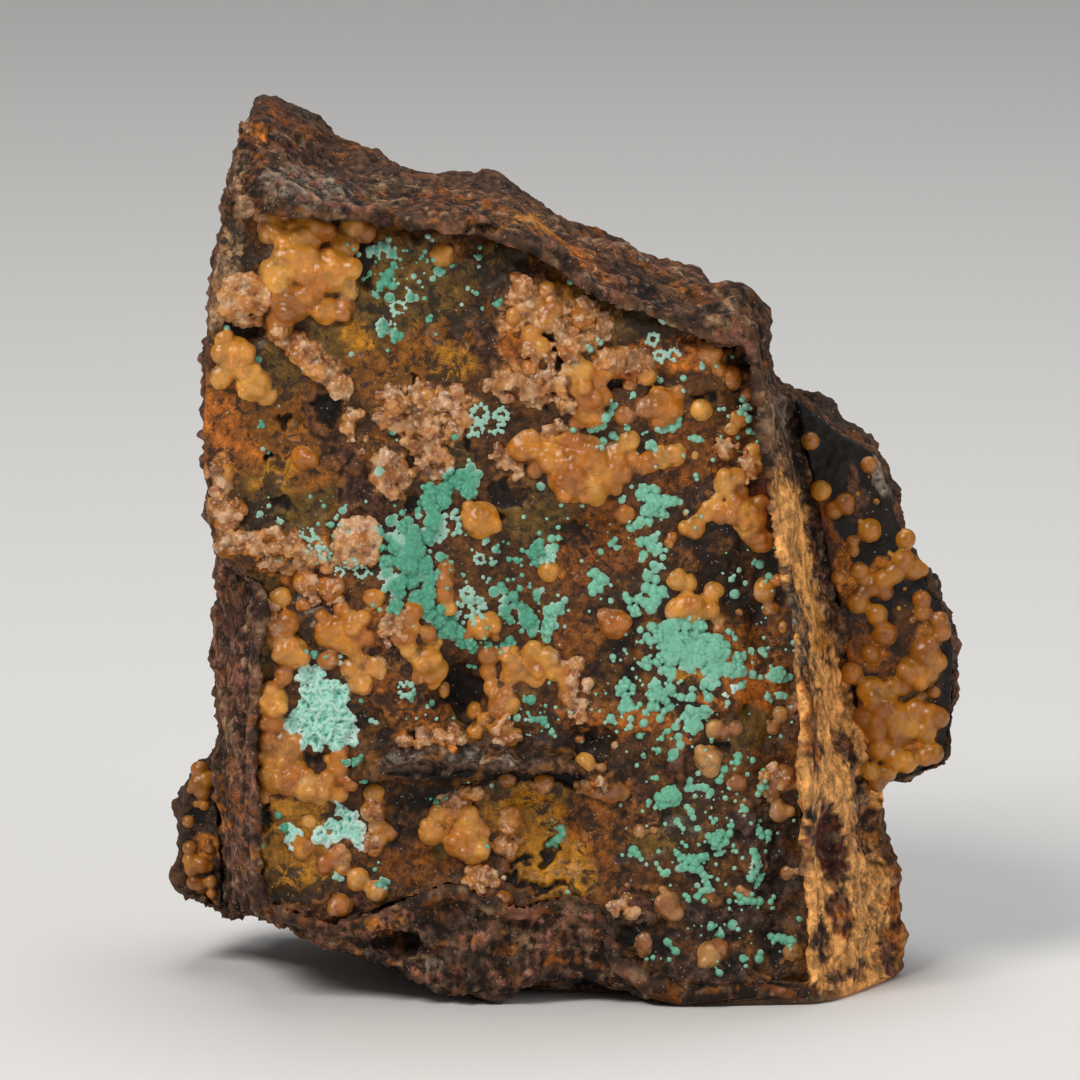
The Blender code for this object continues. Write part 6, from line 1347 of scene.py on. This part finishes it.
def stoneMaterial(name):
    look = stoneMaterials[name]
    material, tree, shader, place = newMaterial(name)
    tint = attributeOf(tree, "tint", "Color")
    rough, marks, glitter, hollow = (attributeOf(tree, kind) for kind in ("rough", "marks", "glitter", "hollow"))
    grain = useGroup(tree, grainGroup, {"Vector": place, "Coarse": 800.0, "Fine": 4000.0})
    mottle = noiseNode(tree, place, 1100.0, 6.0, 0.72, 0.6)
    colour = scaled(tree, tint, rangeOf(tree, grain["Tone"], 0.33, 0.67, (0.44, 1.56)))
    blotch = product(tree, rangeOf(tree, mottle, 0.36, 0.64, (-look["mottle"], look["mottle"] * 1.2)),
                     rangeOf(tree, rough, 0.0, 0.45, (0.25, 1.0)))
    colour = scaled(tree, colour, total(tree, blotch, 1.0))
    branch = useGroup(tree, dendriteGroup, {"Vector": place, "Amount": marks, "Scale": 620.0})
    colour = mixColour(tree, product(tree, branch["Mask"], 0.85), colour, manganese)
    # worn edges are lighter, and frosted where there is druse
    worn = rangeOf(tree, rough, 0.05, 0.5, (0.1, look["edgeShare"]))
    edges = product(tree, rangeOf(tree, hollow, -0.01, -0.09), worn)
    colour = mixColour(tree, edges, colour, scaled(tree, tint, 2.2))
    frost = product(tree, rangeOf(tree, hollow, -0.02, -0.10), rangeOf(tree, glitter, 0.24, 0.40, (0.0, 0.5)))
    colour = mixColour(tree, frost, colour, look["edge"])
    # painted shade: hollows and creases darken towards the crease colour
    colour = mixColour(tree, rangeOf(tree, hollow, 0.0, 0.13, (0.0, look["creaseShare"])), colour, look["creaseShade"])
    # painted glints: pale specks that are also smoother, partly standing for real crystal faces
    glintSpecks = useGroup(tree, glitterGroup, {"Vector": place, "Amount": glitter, "Scale": 5200.0})["Mask"]
    gloss = rangeOf(tree, rough, 0.0, 0.8, (look["wet"], look["dry"]))
    feed(tree, shader, {
        "Base Color": mixColour(tree, product(tree, glintSpecks, 0.6), colour, paintedGlint),
        "Roughness": mathNode(tree, "SUBTRACT", gloss, product(tree, glintSpecks, 0.4), True),
        "Specular IOR Level": 0.3, "Coat Weight": look["coat"], "Coat Roughness": 0.3})
    height = total(tree, grain["Height"], product(tree, mottle, 0.8))
    height = product(tree, height, rangeOf(tree, rough, 0.0, 0.7, (0.3, 1.0)))
    addBump(tree, shader, height, look["bump"], look["distance"])
    return material


def waxyMaterial(name, frostShare):
    # smithsonite: translucent orange wax, frosted on its edges and rims, with painted shade darkening its creases and
    # rust stains gathering round its foot
    material, tree, shader, place = newMaterial(name)
    tint = attributeOf(tree, "tint", "Color")
    hollow, rust, frost = (attributeOf(tree, kind) for kind in ("hollow", "rust", "frost"))
    grain = useGroup(tree, grainGroup, {"Vector": place, "Coarse": 520.0, "Fine": 3000.0})
    colour = scaled(tree, tint, rangeOf(tree, grain["Tone"], 0.3, 0.7, (0.76, 1.24)))
    # painted shade: the creases darken towards a deep orange brown
    colour = mixColour(tree, rangeOf(tree, hollow, 0.03, 0.15, (0.0, 0.8)), colour, waxCreaseShade)
    blot = rangeOf(tree, noiseNode(tree, place, 900.0, 5.0, 0.7), 0.44, 0.58)
    colour = mixColour(tree, product(tree, product(tree, rust, blot), 0.85), colour, rustStain)
    speck = rangeOf(tree, noiseNode(tree, place, 1500.0, 4.0, 0.7, 0.8), 0.47, 0.60)
    edges = product(tree, rangeOf(tree, hollow, -0.01, -0.07), frostShare)
    pale = product(tree, total(tree, frost, edges, True), speck)
    feed(tree, shader, {
        "Base Color": mixColour(tree, product(tree, pale, 0.75), colour, paleFrost),
        "Roughness": rangeOf(tree, grain["Tone"], 0.3, 0.7, (0.28, 0.46)),
        "Subsurface Weight": 0.3, "Subsurface Radius": (1.0, 0.38, 0.10), "Subsurface Scale": 0.0009,
        "Coat Weight": 0.2, "Coat Roughness": 0.22})
    addBump(tree, shader, grain["Height"], 0.3, 0.00014)
    return material


def velvetMaterial(name, tints, holes):
    # malachite: matt fibrous skin, with painted shade of deep green in the gaps, paler on the crowns and round the
    # rims
    body, gapShade, pale = (hexColour(tint) for tint in tints)
    material, tree, shader, place = newMaterial(name)
    hollow, rim = attributeOf(tree, "hollow"), attributeOf(tree, "frost")
    grain = useGroup(tree, grainGroup, {"Vector": place, "Coarse": 1100.0, "Fine": 6500.0})
    colour = mixColour(tree, rangeOf(tree, grain["Tone"], 0.34, 0.66), body * 0.80, np.minimum(1.0, body * 1.2))
    colour = mixColour(tree, rangeOf(tree, hollow, -0.004, -0.030, (0.0, 0.75)), colour, pale)
    colour = mixColour(tree, product(tree, rim, 0.8), colour, 0.35 + 0.65 * pale)
    # painted shade: the gaps between balls darken towards the gap colour
    feed(tree, shader, {
        "Base Color": mixColour(tree, rangeOf(tree, hollow, 0.004, holes, (0.0, 0.9)), colour, gapShade),
        "Roughness": 0.75, "Specular IOR Level": 0.35, "Sheen Weight": 0.25, "Sheen Roughness": 0.4})
    addBump(tree, shader, grain["Height"], 0.45, 0.00014)
    return material


# ---- attributes for the materials

def dressStone(obj, looks, rounds):
    addAttribute(obj.data, "tint", looks[:, :3])
    for name, column in (("rough", 3), ("marks", 4), ("glitter", 5)):
        addAttribute(obj.data, name, looks[:, column])
    addAttribute(obj.data, "hollow", hollowsOf(obj.data, rounds))


def dressBalls(obj, seated, tints, tree, frostShare=0.5):
    # each lump has its own amber, blended where lumps fuse; rust and frost gather at its foot
    mesh = obj.data
    points = pointsOf(mesh)
    rng = random.Random(8)
    dull = [tints is lumpTints and centre.x > 3 and centre.z < 32 for centre, _, _ in seated]
    own = np.array([hexColour(rng.choice(dullTints if low else tints)) for low in dull])
    colour = neighbourMean(mesh, own[nearestBall(points, seated)[0]], 7)
    tone = 1 + 0.22 * noiseAt(points, 0.5, 61.0) + 0.16 * noiseAt(points, 1.4, 63.0)
    above = heightOver(tree, points)
    stain = smooth(0.75, 0.1, above) * smooth(-0.2, 0.2, noiseAt(points, 0.5, 71.0))
    stain += 0.45 * smooth(0.3, 0.5, noiseAt(points, 0.35, 73.0))
    addAttribute(mesh, "tint", colour * tone[:, None])
    addAttribute(mesh, "hollow", hollowsOf(mesh, 7))
    addAttribute(mesh, "rust", np.clip(stain, 0, 1))
    addAttribute(mesh, "frost", smooth(1.2, 0.5, above) * smooth(0.05, 0.3, noiseAt(points, 0.3, 75.0)) * frostShare)


def dressMalachite(obj, lace, frostShare=1.0):
    points = pointsOf(obj.data)
    foot = smooth(0.38, 0.08, heightOver(faceGround, points)) * smooth(-0.05, 0.15, noiseAt(points, 0.28, 81.0))
    foot *= frostShare
    if lace:
        foot = np.maximum(foot, 0.75 * smooth(0.25, 0.05, nearestBall(points, lace)[1]))
    addAttribute(obj.data, "frost", foot)
    addAttribute(obj.data, "hollow", hollowsOf(obj.data, 4))


def shadeHollows(points, looks):
    # painted shade, partly also a darker coating: the ground darkens where it lies deeper than what grows round it,
    # and is painted a little lighter where it stands proud
    meanAt = meanDepth(overlapTree(groundPiece, lumpPiece, drusePiece, *malachitePieces.values()), 1.6)
    sunk = points[:, 1] - meanAt(points)
    shade = 0.62 * smooth(0.1, 1.9, sunk) - 0.25 * smooth(0.0, -0.9, sunk)
    looks[:, :3] *= (1 - shade * (1 - freeSide(points)))[:, None]
    return looks


lumpTints = ("cc8426", "d48f34", "bd721b", "d28b34", "c47824", "b2671c", "da9a40", "b06c28")
druseTints = ("c98d55", "d8a574", "b9742f", "c07f3e", "a86428", "8a5222", "dcb085", "cf8f4a")
dullTints = ("b67c44", "a86e3a", "be8a4c", "9c6030")
shelfTints = ("b87416", "aa680e", "c2821c", "9c5c0c", "b07212")
# body, painted shade in the gaps, crowns; share of frost round the foot
malachiteLooks = {"malachite_left": (("56a486", "0e382a", "86ccae"), 1.0),
                  "malachite_right": (("7bc1a3", "153f30", "a4dcc2"), 0.4),
                  "malachite_lower": (("6cb996", "123c2d", "9cd8bd"), 0.4)}
# body, painted shade in the holes, crowns
padTints = ("9fdfcb", "2f806c", "d2f0e2")

print("materials and surface looks")
groundMaterial, rockMaterial = stoneMaterial("vein_ground"), stoneMaterial("gossan")
lumpMaterial, druseMaterial = waxyMaterial("waxy_smithsonite", 0.15), waxyMaterial("frosted_smithsonite", 0.9)
groundPoints = pointsOf(groundPiece.data)
dressStone(groundPiece, shadeHollows(groundPoints, groundLooks(groundPoints)), 6)
dressStone(rockPiece, rockLooks(pointsOf(rockPiece.data), normalsOf(rockPiece.data)), 5)
dressBalls(lumpPiece, lumpSeats, lumpTints, groundTree)
dressBalls(drusePiece, druseSeats, druseTints, groundTree, 0.9)
dressMalachite(padPiece, [])
for name, piece in malachitePieces.items():
    dressMalachite(piece, lace, malachiteLooks[name][1])

mintNodes = [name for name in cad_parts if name.startswith("malachite") and "mint" in name]
greenNodes = [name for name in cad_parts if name.startswith("malachite") and "mint" not in name]
finishPiece(groundPiece, groundMaterial, ["smithsonite_crust"])
finishPiece(lumpPiece, lumpMaterial)
finishPiece(drusePiece, druseMaterial)
for name, piece in malachitePieces.items():
    velvet = velvetMaterial("velvet_" + name, malachiteLooks[name][0], 0.045)
    finishPiece(piece, velvet, greenNodes if name == "malachite_left" else [])
finishPiece(padPiece, velvetMaterial("mint_malachite", padTints, 0.09), mintNodes)
finishPiece(rockPiece, rockMaterial, ["host_rock"])
for name, (skin, balls, seated) in sidePieces.items():
    look = sideCrusts[name]
    dressStone(skin, sideLooks(pointsOf(skin.data), look), 6)
    dressBalls(balls, seated, shelfTints, faceTree(skin.data), 0.1)
    finishPiece(skin, groundMaterial, [look["replaces"]])
    finishPiece(balls, lumpMaterial)


# ---- floor, lights and camera, in metres
stage = {
    "floorSize": 6, "floorDrop": 0.0002, "floorTone": (0.88, 0.87, 0.85, 1), "floorRough": 0.85,
    # name, place, size, watts, colour
    "lamps": [("key", (-0.45, -0.60, 0.80), 0.40, 6.4, (1.0, 0.97, 0.93)),
              ("fill", (0.65, -0.60, 0.35), 0.6, 1.6, (0.95, 0.97, 1.0)),
              ("top", (0.05, 0.20, 0.80), 0.5, 2.8, (1.0, 1.0, 1.0))],
    "lampTarget": (0, -0.01, 0.045), "worldTone": (0.9, 0.92, 0.95, 1), "worldStrength": 0.14,
    "cameraAway": 1.4, "frameWidth": 0.108, "film": 36,
    "cameraTarget": Vector((-2.6, -17.5, 46.3 / math.cos(tilt))) * mm,
}


def addStage():
    bpy.ops.mesh.primitive_plane_add(size=stage["floorSize"], location=(0, 0, -stage["floorDrop"]))
    floor = bpy.context.object
    floor.name = "floor"
    material, tree, shader, _ = newMaterial("pale_floor")
    feed(tree, shader, {"Base Color": stage["floorTone"], "Roughness": stage["floorRough"]})
    floor.data.materials.append(material)
    for name, place, size, power, tone in stage["lamps"]:
        lamp = bpy.data.lights.new(name, "AREA")
        lamp.size, lamp.energy, lamp.color = size, power, tone
        light = newObject(name, lamp)
        light.location = place
        aim = Vector(stage["lampTarget"]) - Vector(place)
        light.rotation_euler = aim.to_track_quat("-Z", "Y").to_euler()
    world = bpy.data.worlds.new("studio")
    world.use_nodes = True
    feed(world.node_tree, world.node_tree.nodes["Background"],
         {"Color": stage["worldTone"], "Strength": stage["worldStrength"]})
    bpy.context.scene.world = world
    bpy.context.scene.view_settings.view_transform = "Standard"


def addCamera():
    lens = bpy.data.cameras.new("camera")
    lens.lens = stage["film"] * stage["cameraAway"] / stage["frameWidth"]
    lens.clip_start, lens.clip_end = 0.1, 20
    camera = newObject("camera", lens)
    away = Vector((0, -math.cos(tilt), math.sin(tilt))) * stage["cameraAway"]
    camera.location = stage["cameraTarget"] + away
    camera.rotation_euler = (math.pi / 2 - tilt, 0, 0)
    bpy.context.scene.camera = camera


addStage()
addCamera()
